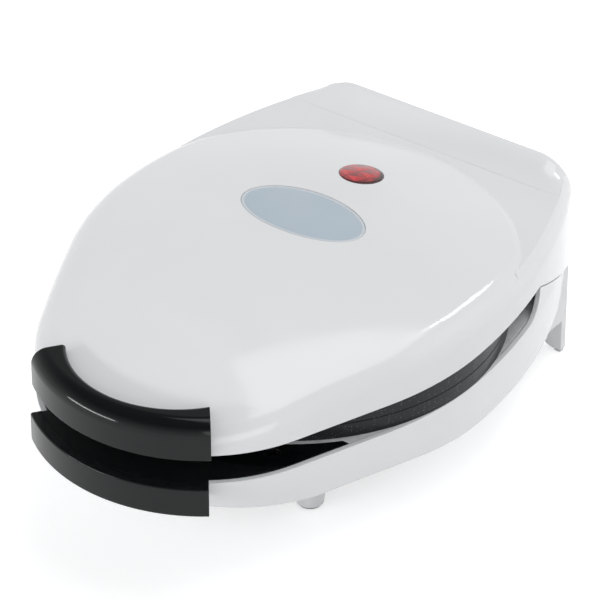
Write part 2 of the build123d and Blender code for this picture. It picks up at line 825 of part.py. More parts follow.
def make_pin_clips():
    group = []
    outer_face = arm_x + arm_width / 2 + hinge_side_gap + ear_thickness
    for side in (-1, 1):
        near = outer_face + clip_gap
        clip = rod_x(hinge_y, hinge_z, near, near + clip_thickness, clip_radius)
        clip = clip - rod_x(hinge_y, hinge_z, near - pass_over, near + 2 * pass_over,
                            pin_radius)
        mouth = Box(4 * pass_over, 2 * pin_radius - 2 * clip_gap, 2 * clip_radius)
        clip = clip - Pos(near, hinge_y, hinge_z - clip_radius) * mouth
        group.append(clip if side > 0 else mirror(clip, Plane.YZ))
    return group


def make_bush():
    """Cord bush in the rear wall: a sleeve with a flange behind the wall."""
    turn = Rot(90, 0, 0)
    mouth = Pos(bush_x, rear_y, bush_z)
    sleeve = mouth * turn * Cylinder(bush_radius, bush_length,
                                     align=(Align.CENTER, Align.CENTER, Align.MIN))
    flange = Pos(bush_x, rear_y - wall - snug_gap, bush_z) * turn * Cylinder(
        bush_flange_radius, bush_flange_thickness,
        align=(Align.CENTER, Align.CENTER, Align.MIN))
    return sleeve + flange - mouth * turn * Cylinder(bush_bore_radius, 4 * bush_length)


def make_terminal_block():
    """Three-way block on the block's floor beside the cover opening."""
    low = block_floor_z + wall
    block = Pos(terminal_x, terminal_y, low) * Box(
        terminal_depth, terminal_length, terminal_height,
        align=(Align.CENTER, Align.CENTER, Align.MIN))
    for step in (-1, 0, 1):
        block = block - post(terminal_x, terminal_y + step * terminal_pitch,
                             low + terminal_height / 2, low + terminal_height + pass_over,
                             screw_radius)
    return block


def lead(points):
    """Insulated lead along straight runs joined by bends."""
    path = FilletPolyline([Vector(*p) for p in points], radius=lead_bend)
    start = path @ 0
    along = path % 0
    return sweep(Plane(origin=start, z_dir=along) * Circle(lead_radius), path)


def make_base_leads():
    """Leads from the terminal block up to the heater's ends and the thermostat."""
    low = dish_under_z - element_radius - element_drop - pin_length - panel_gap - lead_radius
    socket = block_floor_z + wall + terminal_height / 2 + panel_gap
    ends = on_ring(element_ring_radius, (90 + element_end_angle, 90 - element_end_angle))
    group = []
    for step, (x, y) in zip((-1, 1), ends):
        start_y = terminal_y + step * terminal_pitch
        group.append(lead([(terminal_x, start_y, socket), (terminal_x, start_y, low),
                           (x, y, low)]))
    return group


# Lid
def lens_place(gap=0.0):
    """Frame on the dome at the lens, its Z along the surface's outward direction."""
    tilt = degrees(asin((lens_y - cap_centre.Y) / dome_radius))
    return Pos(0, lens_y, cap_z(lens_y) + gap) * Rot(-tilt, 0, 0)


def make_lens():
    place = lens_place()
    crown_radius = (lens_radius ** 2 + lens_rise ** 2) / (2 * lens_rise)
    body = Cylinder(lens_radius - snug_gap, lens_depth + lens_rise,
                    align=(Align.CENTER, Align.CENTER, Align.MIN))
    body = Pos(0, 0, -lens_depth) * body
    body = body & Pos(0, 0, lens_rise - crown_radius) * Sphere(crown_radius)
    flange = Pos(0, 0, -lens_depth) * Cylinder(lens_flange_radius, lens_flange_thickness,
                                               align=(Align.CENTER, Align.CENTER, Align.MIN))
    return place * (body + flange)


def make_lamp_holder():
    """Cup that clips behind the lens and carries the lamp across its middle."""
    outer = Cylinder(lamp_holder_radius, lamp_holder_height,
                     align=(Align.CENTER, Align.CENTER, Align.MAX))
    inner = Pos(0, 0, pass_over) * Cylinder(lamp_holder_radius - lamp_holder_wall,
                                            lamp_holder_height - lamp_holder_wall + pass_over,
                                            align=(Align.CENTER, Align.CENTER, Align.MAX))
    cup = outer - inner
    bar = Pos(0, 0, -lamp_holder_height + lamp_holder_wall) * Box(
        lamp_bar_width, 2 * (lamp_holder_radius - lamp_holder_wall), lamp_bar_thickness,
        align=(Align.CENTER, Align.CENTER, Align.MIN))
    return lens_place() * Pos(0, 0, -lens_depth) * (cup + bar)


def make_lamp():
    z = (lamp_holder_wall + lamp_bar_thickness + lamp_radius
         - lens_depth - lamp_holder_height)
    glass = Rot(0, 90, 0) * Cylinder(lamp_radius, lamp_length)
    return lens_place() * Pos(0, 0, z) * glass


def make_badge(gap=0.0):
    plan = Pos(0, badge_y) * Ellipse(badge_length / 2 + gap, badge_width / 2 + gap)
    slab = upright(plan, edge_z, apex_z + spare)
    inner = Pos(*cap_centre) * Sphere(dome_radius - badge_thickness)
    if gap > 0:
        return slab - inner
    outer = Pos(*cap_centre) * Sphere(dome_radius)
    return (slab & outer) - inner


def lid_screw_places():
    return both_sides(front_screw) + both_sides(rear_screw)


def make_lid_shell(lid_outer):
    shell = lid_outer - lid_form(wall)
    for x, y in lid_screw_places():
        boss = post(x, y, lid_frame_top(), apex_z, boss_radius) & lid_outer
        shell = shell + boss
        shell = shell - post(x, y, edge_z, lid_frame_top() + screw_grip, screw_radius)
    shell = shell - make_badge(snug_gap)
    shell = shell - lens_place() * Cylinder(lens_radius, 8 * wall)
    for x, y in handle_screw_places():
        boss = post(x, y, lid_screw_seat_z, apex_z, boss_radius) & lid_outer
        shell = shell + boss
    for bolt in lid_handle_screws():
        shell = shell - bolt
    return shell


def lid_frame_top():
    return edge_z + deck_thickness + deck_rib


def make_lid_frame():
    """Inner frame of the lid: ring round the upper dish, sloping rear panel, hinge arms."""
    flat = Pos(0, slope_start_y) * Rectangle(far, far, align=(Align.CENTER, Align.MAX))
    plan = (outline(wall + panel_gap) & flat) - Circle(deck_opening_radius)
    frame = upright(plan, edge_z, lid_frame_top()) & lid_form(wall + panel_gap)
    end_y = rear_y - wall - panel_gap
    start_y = slope_start_y - slope_overlap
    panel = side_bar([(start_y, edge_z), (start_y, edge_z + deck_thickness),
                      (slope_start_y, edge_z + deck_thickness),
                      (end_y, lid_slope_rear_z + deck_thickness), (end_y, lid_slope_rear_z),
                      (slope_start_y, edge_z)])
    panel = panel & upright(outline(wall + panel_gap), 0, far / 2)
    panel = panel - Cylinder(deck_opening_radius, far)
    frame = frame + panel
    front = hinge_y - eye_radius
    back = hinge_y + eye_radius
    slope = (edge_z - lid_slope_rear_z) / (end_y - slope_start_y)
    front_top = edge_z - (front - slope_start_y) * slope + pass_over
    for side in (-1, 1):
        low = side * arm_x - arm_width / 2
        high = side * arm_x + arm_width / 2
        arm = side_bar([(front, hinge_z), (back, hinge_z), (back, seam_rear_z - arm_heel),
                        (end_y, seam_rear_z), (end_y, lid_slope_rear_z + pass_over),
                        (front, front_top)], low, high)
        arm = arm + rod_x(hinge_y, hinge_z, low, high, eye_radius)
        frame = frame + arm
    frame = frame - rod_x(hinge_y, hinge_z, -far / 2, far / 2, pin_radius + pin_play / 2)
    for x, y in lid_screw_places():
        frame = frame - post(x, y, edge_z - pass_over, lid_frame_top() + pass_over, screw_radius + snug_gap)
        frame = frame - post(x, y, edge_z - pass_over, edge_z + screw_head_height,
                             screw_head_radius + snug_gap)
    for x, y in on_ring(shield_tab_ring_radius, shield_tab_angles):
        frame = frame - post(x, y, 2 * meet_z - shield_flange_z - shield_screw_grip,
                             lid_frame_top() + pass_over, screw_radius)
    return frame


def make_lid_screws():
    return [screw(x, y, edge_z + screw_head_height, True) for x, y in lid_screw_places()]


def make_lid_leads():
    """Leads inside the dome, from the heater's ends to the lamp."""
    pin_end = dish_under_z - element_radius - element_drop - pin_length
    high = 2 * meet_z - pin_end + panel_gap + lead_radius
    ends = on_ring(element_ring_radius, (90 + element_end_angle, 90 - element_end_angle))
    group = []
    lamp_y = lens_y - (cap_z(lens_y) - high) * (lens_y - cap_centre.Y) / dome_radius
    for side, (x, y) in zip((-1, 1), ends):
        holder_x = side * (lamp_holder_radius + panel_gap)
        group.append(lead([(x, y, high), (x, lamp_y, high), (holder_x, lamp_y, high)]))
    return group


def shifted(shape):
    move = Pos(0, origin_shift, 0)
    if isinstance(shape, (list, tuple)):
        return Compound(children=[move * piece for piece in shape])
    return move * shape


def build():
    base_outer = base_form(0.0)
    base_room = base_form(wall + panel_gap)
    lid_outer = lid_form(0.0)
    dish = make_dish()
    element = make_element()
    clamps = make_clamps()
    shield = make_shield()
    dish_screws = make_dish_screws()
    shield_screws = make_shield_screws()
    thermostat = make_thermostat()
    fuse = make_fuse()
    lid_handle = make_lid_handle(lid_outer)
    for bolt in lid_handle_screws():
        lid_handle = lid_handle - bolt
    return {
        "base_shell": make_base_shell(base_outer),
        "deck_ring": make_deck(base_room),
        "deck_screws": make_deck_screws(),
        "lower_handle": drill_crescent(make_lower_handle(base_outer, base_room)),
        "lower_handle_screws": lower_handle_screws(),
        "lower_dish": dish,
        "lower_element": element,
        "lower_element_clamps": clamps,
        "lower_heat_shield": shield,
        "lower_dish_screws": dish_screws,
        "lower_shield_screws": shield_screws,
        "lower_thermostat": thermostat,
        "lower_thermal_fuse": fuse,
        "front_feet": make_feet(base_outer),
        "front_foot_pads": make_foot_pads(),
        "rear_leg_pads": make_leg_pads(),
        "bottom_cover": make_bottom_cover(),
        "bottom_cover_screws": [screw(x, y, block_floor_z - cover_thickness, True)
                                for x, y in cover_screw_places()],
        "hinge_pin": make_hinge_pin(),
        "hinge_pin_clips": make_pin_clips(),
        "cord_bush": make_bush(),
        "terminal_block": make_terminal_block(),
        "base_leads": make_base_leads(),
        "lid_shell": make_lid_shell(lid_outer),
        "lid_frame": make_lid_frame(),
        "lid_screws": make_lid_screws(),
        "lid_handle": lid_handle,
        "lid_handle_screws": lid_handle_screws(),
        "badge_plate": make_badge(),
        "indicator_lens": make_lens(),
        "lamp_holder": make_lamp_holder(),
        "neon_lamp": make_lamp(),
        "upper_dish": to_lid(dish),
        "upper_element": to_lid(element),
        "upper_element_clamps": [to_lid(strap) for strap in clamps],
        "upper_heat_shield": to_lid(shield),
        "upper_dish_screws": [to_lid(piece) for piece in dish_screws],
        "upper_shield_screws": [to_lid(piece) for piece in shield_screws],
        "upper_thermostat": to_lid(thermostat),
        "upper_thermal_fuse": to_lid(fuse),
        "lid_leads": make_lid_leads(),
    }


os.makedirs("parts", exist_ok=True)
for node, shape in build().items():
    export_step(shifted(shape), "parts/" + node + ".step")
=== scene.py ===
from math import asin, cos, pi, radians, sin, sqrt

import bmesh
import bpy
from mathutils import Matrix, Vector


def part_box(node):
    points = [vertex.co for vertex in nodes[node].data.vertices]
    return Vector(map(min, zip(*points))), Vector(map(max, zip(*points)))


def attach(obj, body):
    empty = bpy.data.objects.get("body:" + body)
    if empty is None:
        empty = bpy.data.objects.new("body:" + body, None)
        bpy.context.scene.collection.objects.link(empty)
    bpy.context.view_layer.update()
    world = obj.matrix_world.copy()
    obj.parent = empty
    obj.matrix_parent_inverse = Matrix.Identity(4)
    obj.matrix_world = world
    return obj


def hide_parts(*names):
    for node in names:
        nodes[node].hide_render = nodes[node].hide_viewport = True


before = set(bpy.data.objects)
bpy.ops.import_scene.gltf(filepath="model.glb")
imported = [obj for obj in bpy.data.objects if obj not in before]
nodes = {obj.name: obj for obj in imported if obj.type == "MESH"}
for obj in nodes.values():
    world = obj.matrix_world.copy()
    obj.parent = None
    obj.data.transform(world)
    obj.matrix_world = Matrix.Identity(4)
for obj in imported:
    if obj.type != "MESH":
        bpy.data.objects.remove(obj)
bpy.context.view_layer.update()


# The studio: a floor and a pale surround under soft boxes. The camera looks down at the
# right front of the cooker through a long lens and sees a white backdrop. Gloss and
# glass see the same one, which falls off to grey overhead; matt faces see the surround.
scene = bpy.context.scene
scene.view_settings.view_transform = "Standard"
dish_low, dish_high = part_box("lower_dish")
dish_axis_y = (dish_low[1] + dish_high[1]) / 2

view_side = radians(35.182)
view_rise = radians(34.766)
view_distance = 2.08909
aim_height = 0.040
aim_shift_right = 0.00407
aim_shift_up = 0.03182
sensor_width = 36
focal_pixels = 4167.7
frame_pixels = 600
toward = Vector((cos(view_rise) * sin(view_side), -cos(view_rise) * cos(view_side),
                 sin(view_rise)))
right = Vector((cos(view_side), sin(view_side), 0))
up = toward.cross(right)
aim = Vector((0, dish_axis_y, aim_height)) + right * aim_shift_right + up * aim_shift_up
camera_data = bpy.data.cameras.new("product_camera")
camera_data.sensor_width = sensor_width
camera_data.lens = sensor_width * focal_pixels / frame_pixels
camera_data.clip_start = 0.1
camera_data.clip_end = 20
camera = bpy.data.objects.new("product_camera", camera_data)
camera.matrix_world = Matrix.Translation(aim + toward * view_distance) @ Matrix(
    (right, up, toward)).transposed().to_4x4()
scene.collection.objects.link(camera)
scene.camera = camera


lamp_target = Vector((0, 0, 0.05))


def soft_box(name, place, width, height, watts):
    """Rectangular lamp that faces the cooker."""
    data = bpy.data.lights.new(name, "AREA")
    data.shape = "RECTANGLE"
    data.size = width
    data.size_y = height
    data.energy = watts
    lamp = bpy.data.objects.new(name, data)
    lamp.location = place
    lamp.rotation_euler = (lamp_target - Vector(place)).to_track_quat("-Z", "Y").to_euler()
    scene.collection.objects.link(lamp)


soft_box("top_box", (0.30, 0.38, 1.75), 1.6, 1.1, 11.0)
soft_box("rear_box", (1.30, 1.00, 1.10), 1.3, 1.2, 1.2)
soft_box("right_box", (1.25, -0.98, 0.50), 1.0, 0.7, 4.2)
soft_box("streak_box", (0.14, 1.36, 1.46), 0.16, 0.62, 3.0)
soft_box("front_strip", (-1.02, -1.58, 0.30), 1.1, 0.16, 9.0)


def put(tree, kind, feeds=None, **settings):
    """Adds a node: settings are its own properties, and feeds gives each named input a
    value or another node's output."""
    node = tree.nodes.new(kind)
    for key, value in settings.items():
        setattr(node, key, value)
    for key, value in (feeds or {}).items():
        if isinstance(value, bpy.types.NodeSocket):
            tree.links.new(value, node.inputs[key])
        else:
            node.inputs[key].default_value = value
    return node


def calc(tree, operation, *values):
    return put(tree, "ShaderNodeMath", dict(enumerate(values)), operation=operation).outputs[0]


def spread(tree, value, low, high, new_low=0.0, new_high=1.0):
    """Value between low and high, laid over a new range and held inside it."""
    return put(tree, "ShaderNodeMapRange", {0: value, 1: low, 2: high, 3: new_low,
                                            4: new_high}).outputs[0]


def backdrop_share(tree):
    """1 for the rays that see the backdrop itself: the camera's, gloss and glass."""
    path = put(tree, "ShaderNodeLightPath").outputs
    return calc(tree, "MAXIMUM", path["Is Camera Ray"],
                calc(tree, "MAXIMUM", path["Is Glossy Ray"], path["Is Transmission Ray"]))


surround_strength = 0.62
grey_start = 0.10
grey_end = 0.75
overhead_grey = 0.20
surround = bpy.data.worlds.new("pale_surround")
surround.use_nodes = True
sky_tree = surround.node_tree
sky_tree.nodes.clear()
sky = put(sky_tree, "ShaderNodeBackground", {"Color": (0.82, 0.83, 0.84, 1),
                                             "Strength": surround_strength})
direction = put(sky_tree, "ShaderNodeTexCoord").outputs["Generated"]
climb = put(sky_tree, "ShaderNodeSeparateXYZ", {0: direction}).outputs["Z"]
ceiling = spread(sky_tree, climb, grey_start, grey_end, 1.0, overhead_grey)
seen = put(sky_tree, "ShaderNodeLightPath").outputs["Is Camera Ray"]
backdrop = put(sky_tree, "ShaderNodeBackground",
               {"Color": (1, 1, 1, 1), "Strength": calc(sky_tree, "MAXIMUM", seen, ceiling)})
sky_mix = put(sky_tree, "ShaderNodeMixShader",
              {0: backdrop_share(sky_tree), 1: sky.outputs[0], 2: backdrop.outputs[0]})
put(sky_tree, "ShaderNodeOutputWorld", {"Surface": sky_mix.outputs[0]})
scene.world = surround


def mesh_object(name, points, faces):
    """Object from points in millimetres about the dishes' axis."""
    mesh = bpy.data.meshes.new(name)
    mesh.from_pydata([(x * 0.001, y * 0.001 + dish_axis_y, z * 0.001) for x, y, z in points],
                     [], faces)
    mesh.update()
    obj = bpy.data.objects.new(name, mesh)
    scene.collection.objects.link(obj)
    return obj


floor_reach = 4000
floor_glow_strength = 0.50
floor = mesh_object("studio_floor", [(x * floor_reach, y * floor_reach, 0)
                                     for x, y in ((-1, -1), (1, -1), (1, 1), (-1, 1))],
                    [(0, 1, 2, 3)])
floor_paint = bpy.data.materials.new("studio_white")
floor_paint.use_nodes = True
floor_tree = floor_paint.node_tree
floor_tree.nodes.clear()
floor_matt = put(floor_tree, "ShaderNodeBsdfDiffuse", {"Color": (0.82, 0.82, 0.82, 1)})
floor_glow = put(floor_tree, "ShaderNodeEmission", {"Color": (1, 1, 1, 1),
                                                    "Strength": floor_glow_strength})
floor_bright = put(floor_tree, "ShaderNodeAddShader",
                   {0: floor_matt.outputs[0], 1: floor_glow.outputs[0]})
floor_mix = put(floor_tree, "ShaderNodeMixShader",
                {0: backdrop_share(floor_tree), 1: floor_matt.outputs[0],
                 2: floor_bright.outputs[0]})
put(floor_tree, "ShaderNodeOutputMaterial", {"Surface": floor_mix.outputs[0]})
floor.data.materials.append(floor_paint)


# Base shell: bowl, cheeks, rear block and rear legs in one white injection moulding.
# Its skin has a faint orange peel and slow flow waves, its edges are softly rounded
# and a little polished by hands, and fine dust lies on the faces that look up.
def new_group(name, inputs, outputs, kind="ShaderNodeTree"):
    """Node group with named inputs (name, type, value) and outputs (name, type)."""
    group = bpy.data.node_groups.new(name, kind)
    for label, form, value in inputs:
        socket = group.interface.new_socket(label, in_out="INPUT",
                                            socket_type="NodeSocket" + form)
        if value is not None:
            socket.default_value = value
    for label, form in outputs:
        group.interface.new_socket(label, in_out="OUTPUT", socket_type="NodeSocket" + form)
    return group, put(group, "NodeGroupInput").outputs, put(group, "NodeGroupOutput").inputs


def noise(tree, place, scale, detail=2.0, distortion=0.0):
    return put(tree, "ShaderNodeTexNoise", {"Vector": place, "Scale": scale, "Detail": detail,
                                            "Distortion": distortion}).outputs[0]


def tinted(tree, share, low, high):
    """Colour between two others."""
    feeds = {0: share, 6: low, 7: high}
    for key in (6, 7):
        if isinstance(feeds[key], tuple):
            feeds[key] = (*feeds[key], 1)
    return put(tree, "ShaderNodeMix", feeds, data_type="RGBA").outputs[2]


peel_share = 0.10
moulded_skin, taken, given = new_group(
    "moulded_skin", [("Place", "Vector", None), ("Peel Scale", "Float", 900.0),
                     ("Flow Scale", "Float", 20.0)],
    [("Height", "Float"), ("Shade", "Float"), ("Gloss", "Float")])
peel = noise(moulded_skin, taken["Place"], taken["Peel Scale"])
flow = noise(moulded_skin, taken["Place"], taken["Flow Scale"], 1.5, 0.5)
moulded_skin.links.new(calc(moulded_skin, "MULTIPLY_ADD", peel, peel_share, flow),
                       given["Height"])
moulded_skin.links.new(spread(moulded_skin, flow, 0.3, 0.7), given["Shade"])
patches = noise(moulded_skin, taken["Place"], calc(moulded_skin, "MULTIPLY",
                                                    taken["Flow Scale"], 4.0), 3.0)
moulded_skin.links.new(spread(moulded_skin, patches, 0.3, 0.7), given["Gloss"])

flat_cosine = 0.99
edge_cosine = 0.80
soft_edge, taken, given = new_group(
    "soft_edge", [("Place", "Vector", None), ("Radius", "Float", 0.0005),
                  ("Patch Scale", "Float", 150.0)],
    [("Normal", "Vector"), ("Wear", "Float")])
rounded = put(soft_edge, "ShaderNodeBevel", {"Radius": taken["Radius"]}, samples=6)
sharp = put(soft_edge, "ShaderNodeNewGeometry").outputs["Normal"]
turned = put(soft_edge, "ShaderNodeVectorMath", {0: rounded.outputs[0], 1: sharp},
             operation="DOT_PRODUCT").outputs["Value"]
edge_share = spread(soft_edge, turned, flat_cosine, edge_cosine)
rub = spread(soft_edge, noise(soft_edge, taken["Place"], taken["Patch Scale"], 4.0), 0.42, 0.62)
soft_edge.links.new(calc(soft_edge, "MULTIPLY", edge_share, rub), given["Wear"])
soft_edge.links.new(rounded.outputs[0], given["Normal"])

settled_dust, taken, given = new_group(
    "settled_dust", [("Place", "Vector", None), ("Facing", "Vector", None),
                     ("Amount", "Float", 0.05)], [("Mask", "Float")])
upward = put(settled_dust, "ShaderNodeSeparateXYZ", {0: taken["Facing"]}).outputs["Z"]
lying = spread(settled_dust, upward, 0.5, 1.0)
clouds = spread(settled_dust, noise(settled_dust, taken["Place"], 60.0, 4.0), 0.35, 0.75)
specks = spread(settled_dust, noise(settled_dust, taken["Place"], 1600.0, 1.0), 0.60, 0.72)
film = calc(settled_dust, "MULTIPLY_ADD", specks, 1.5, clouds)
settled_dust.links.new(
    calc(settled_dust, "MULTIPLY", calc(settled_dust, "MULTIPLY", film, lying), taken["Amount"]),
    given["Mask"])


def new_finish(name, **plain):
    """Material whose plain values are set on its shader, with its tree, shader and the
    places on the surface."""
    material = bpy.data.materials.new(name)
    material.use_nodes = True
    tree = material.node_tree
    shader = tree.nodes["Principled BSDF"]
    for key, value in plain.items():
        shader.inputs[key.replace("_", " ")].default_value = value
    return material, tree, shader, put(tree, "ShaderNodeTexCoord").outputs


def grouped(tree, group, **feeds):
    return put(tree, "ShaderNodeGroup", {key.replace("_", " "): value
                                         for key, value in feeds.items()},
               node_tree=group).outputs


def relief(tree, shader, height, strength, distance, normal=None):
    feeds = {"Height": height, "Strength": strength, "Distance": distance}
    if normal is not None:
        feeds["Normal"] = normal
    bump = put(tree, "ShaderNodeBump", feeds)
    tree.links.new(bump.outputs["Normal"], shader.inputs["Normal"])


wave_height = 0.0006
smooth_patch = 0.85
dull_patch = 1.2


def moulded(name, colour, rough, worn, radius=0.0005, dust=0.02, dust_colour=(0.62, 0.60, 0.56),
            peel_scale=900.0, flow_scale=20.0, peel_relief=0.10, shade_depth=0.97, **plain):
    """Finish of a moulded plastic piece: colour, roughness, colour of its worn edges, edge
    radius, share of dust, and the scales and strength of its skin."""
    material, tree, shader, where = new_finish(name, **plain)
    skin = grouped(tree, moulded_skin, Place=where["Object"], Peel_Scale=peel_scale,
                   Flow_Scale=flow_scale)
    edge = grouped(tree, soft_edge, Place=where["Object"], Radius=radius)
    film = grouped(tree, settled_dust, Place=where["Object"], Facing=where["Normal"],
                   Amount=dust)["Mask"]
    body = tinted(tree, skin["Shade"], tuple(part * shade_depth for part in colour), colour)
    body = tinted(tree, edge["Wear"], body, worn)
    tree.links.new(tinted(tree, film, body, dust_colour), shader.inputs["Base Color"])
    gloss = spread(tree, skin["Gloss"], 0.0, 1.0, rough * smooth_patch, rough * dull_patch)
    tree.links.new(calc(tree, "ADD", gloss, film), shader.inputs["Roughness"])
    relief(tree, shader, skin["Height"], peel_relief, wave_height, edge["Normal"])
    return material


def wear_on(material, *names):
    """Gives a carried-over piece its finish."""
    for name in names:
        mesh = nodes[name].data
        mesh.materials.clear()
        mesh.materials.append(material)


semi_gloss_white = moulded("semi_gloss_white", (0.775, 0.785, 0.795), 0.22, (0.84, 0.85, 0.85),
                           radius=0.0006, dust=0.03)
wear_on(semi_gloss_white, "base_shell")


# Front feet: two tapered white plastic studs moulded to the bowl, a little duller than
# the shell. Their soles are round rubber pads with ring grooves, pressed into the feet;
# the rear legs stand on small flat pads of a paler rubber.
foot_white = moulded("foot_white", (0.74, 0.75, 0.76), 0.30, (0.80, 0.81, 0.81))
wear_on(foot_white, "front_feet")

pad_rubber, tree, shader, where = new_finish("pad_rubber", Specular_IOR_Level=0.3)
crumb = noise(tree, where["Object"], 2600.0, 3.0)
scuffs = spread(tree, noise(tree, where["Object"], 240.0, 5.0), 0.45, 0.70)
tree.links.new(tinted(tree, scuffs, (0.235, 0.240, 0.245), (0.310, 0.308, 0.300)),
               shader.inputs["Base Color"])
tree.links.new(spread(tree, crumb, 0.3, 0.7, 0.70, 0.92), shader.inputs["Roughness"])
relief(tree, shader, crumb, 0.35, 0.0002)
pale_rubber = moulded("pale_rubber", (0.60, 0.61, 0.62), 0.62, (0.66, 0.67, 0.67),
                      dust=0.04, Specular_IOR_Level=0.3)
wear_on(pale_rubber, "rear_leg_pads")


weld_distance = 0.000001


def islands(name):
    """Solids of a carried-over piece, each as its corner points."""
    work = bmesh.new()
    work.from_mesh(nodes[name].data)
    bmesh.ops.remove_doubles(work, verts=work.verts, dist=weld_distance)
    left = set(work.verts)
    groups = []
    while left:
        reached = [left.pop()]
        for vert in reached:
            for edge in vert.link_edges:
                other = edge.other_vert(vert)
                if other in left:
                    left.remove(other)
                    reached.append(other)
        groups.append([vert.co.copy() for vert in reached])
    work.free()
    return sorted(groups, key=lambda group: (sum(p.x for p in group) / len(group),
                                             sum(p.y for p in group) / len(group)))


def middle(points):
    return Vector([(min(p[k] for p in points) + max(p[k] for p in points)) / 2 for k in range(3)])


def lathe(rings, segments, centre=(0, 0)):
    """Points and faces of a turned shape from (radius, height) rings, closed at both
    ends, with the profile running from the lower end to the upper one."""
    points = []
    faces = []
    for radius, height in rings:
        for k in range(segments):
            turn = 2 * pi * k / segments
            points.append((centre[0] + radius * cos(turn), centre[1] + radius * sin(turn),
                           height))
    for r in range(len(rings) - 1):
        for k in range(segments):
            n = (k + 1) % segments
            a = r * segments
            b = a + segments
            faces.append((a + k, a + n, b + n, b + k))
    faces.append(tuple(reversed(range(segments))))
    faces.append(tuple(range((len(rings) - 1) * segments, len(rings) * segments)))
    return points, faces


def merged(name, parts):
    points = []
    faces = []
    for more_points, more_faces in parts:
        start = len(points)
        points += more_points
        faces += [tuple(start + k for k in face) for face in more_faces]
    return mesh_object(name, points, faces)


def smoothed(obj, angle=35):
    obj.data.shade_smooth()
    obj.data.set_sharp_from_angle(angle=radians(angle))
    return obj


groove_depth = 0.35
groove_slope = 0.15
groove_edges = ((1.9, 2.5), (3.4, 4.0))
hub_profile = [(0.9, groove_depth), (1.1, 0.0)]
pad_rounding = 0.35
pad_height = 1.5
pad_parts = []
for group in islands("front_foot_pads"):
    spot = middle(group) * 1000
    radius = max(p.x for p in group) * 1000 - spot.x
    profile = list(hub_profile)
    for inner, outer in groove_edges:
        profile += [(inner, 0.0), (inner + groove_slope, groove_depth),
                    (outer - groove_slope, groove_depth), (outer, 0.0)]
    profile += [(radius - pad_rounding, 0.0), (radius - 0.1, 0.1), (radius, pad_rounding),
                (radius, pad_height)]
    pad_parts.append(lathe(profile, 48, (spot.x, spot.y - dish_axis_y * 1000)))
foot_pads = smoothed(merged("grooved_foot_pads", pad_parts))
foot_pads.data.materials.append(pad_rubber)
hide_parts("front_foot_pads")
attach(foot_pads, "base")


# Cord bush: a black plastic sleeve pressed through the rear wall from inside, with a
# flange behind the wall. The same black plastic, polished, makes the handles.
bush_black = moulded("bush_black", (0.016, 0.017, 0.018), 0.38, (0.05, 0.05, 0.05), radius=0.0004,
                     dust=0.03, peel_relief=0.2)
wear_on(bush_black, "cord_bush")


# Terminal block: unglazed steatite with fine pores, slipped into the rear block beside
# the cover opening. Its cut edges are lightly chipped.
steatite, tree, shader, where = new_finish("steatite", Specular_IOR_Level=0.35)
pores = put(tree, "ShaderNodeTexVoronoi", {"Vector": where["Object"], "Scale": 2200.0}).outputs[0]
stain = spread(tree, noise(tree, where["Object"], 130.0, 4.0), 0.35, 0.70)
edge = grouped(tree, soft_edge, Place=where["Object"], Radius=0.0003, Patch_Scale=500.0)
tree.links.new(tinted(tree, edge["Wear"], tinted(tree, stain, (0.66, 0.63, 0.55),
                                                 (0.57, 0.53, 0.45)), (0.74, 0.72, 0.66)),
               shader.inputs["Base Color"])
tree.links.new(spread(tree, pores, 0.0, 0.6, 0.85, 0.55), shader.inputs["Roughness"])
relief(tree, shader, pores, 0.3, 0.0002, edge["Normal"])
wear_on(steatite, "terminal_block")


# Heating plates: cast aluminium dishes, turned and sprayed with a dark speckled
# non-stick coat. The lower dish hangs in the deck and the upper one is its mirror image
# in the lid; where the two lips meet, a thin dark line of painted shade stands for the
# shadow in the seam, and the coat along it is made duller.
turned_rings, taken, given = new_group(
    "turned_rings", [("Place", "Vector", None), ("Ring Scale", "Float", 500.0)],
    [("Height", "Float"), ("Shade", "Float")])
rings = put(turned_rings, "ShaderNodeTexWave",
            {"Vector": taken["Place"], "Scale": taken["Ring Scale"], "Distortion": 0.4,
             "Detail": 2.0, "Detail Scale": 1.5},
            wave_type="RINGS", rings_direction="Z").outputs[1]
turned_rings.links.new(rings, given["Height"])
turned_rings.links.new(rings, given["Shade"])

coat_flecks, taken, given = new_group(
    "coat_flecks", [("Place", "Vector", None), ("Fleck Scale", "Float", 1500.0),
                    ("Share", "Float", 0.32)], [("Mask", "Float"), ("Height", "Float")])
cells = put(coat_flecks, "ShaderNodeTexVoronoi", {"Vector": taken["Place"],
                                                  "Scale": taken["Fleck Scale"]})
chosen = calc(coat_flecks, "LESS_THAN", put(coat_flecks, "ShaderNodeSeparateColor",
                                            {0: cells.outputs["Color"]}).outputs[0],
              taken["Share"])
core = spread(coat_flecks, cells.outputs["Distance"], 0.30, 0.12)
coat_flecks.links.new(calc(coat_flecks, "MULTIPLY", chosen, core), given["Mask"])
coat_flecks.links.new(noise(coat_flecks, taken["Place"], 1100.0, 3.0), given["Height"])

meet_z = dish_high[2]
# Widths of the painted shade line along the seam where the dishes meet.
seam_shade_half = 0.00045
seam_shade_core = 0.00025
dish_coat, tree, shader, where = new_finish("dish_coat", Specular_IOR_Level=0.22)
centred = put(tree, "ShaderNodeMapping", {"Vector": where["Object"],
                                          "Location": (0, -dish_axis_y, 0)}).outputs[0]
turning = grouped(tree, turned_rings, Place=centred, Ring_Scale=190.0)
flecks = grouped(tree, coat_flecks, Place=where["Object"], Fleck_Scale=1000.0, Share=0.34)
edge = grouped(tree, soft_edge, Place=where["Object"], Radius=0.0008, Patch_Scale=200.0)
cloudy = spread(tree, noise(tree, where["Object"], 26.0, 3.0), 0.3, 0.7)
coat_colour = tinted(tree, cloudy, (0.011, 0.0125, 0.0145), (0.016, 0.018, 0.0205))
coat_colour = tinted(tree, flecks["Mask"], coat_colour, (0.150, 0.154, 0.158))
coat_colour = tinted(tree, edge["Wear"], coat_colour, (0.060, 0.062, 0.064))
height_here = put(tree, "ShaderNodeSeparateXYZ", {0: where["Object"]}).outputs["Z"]
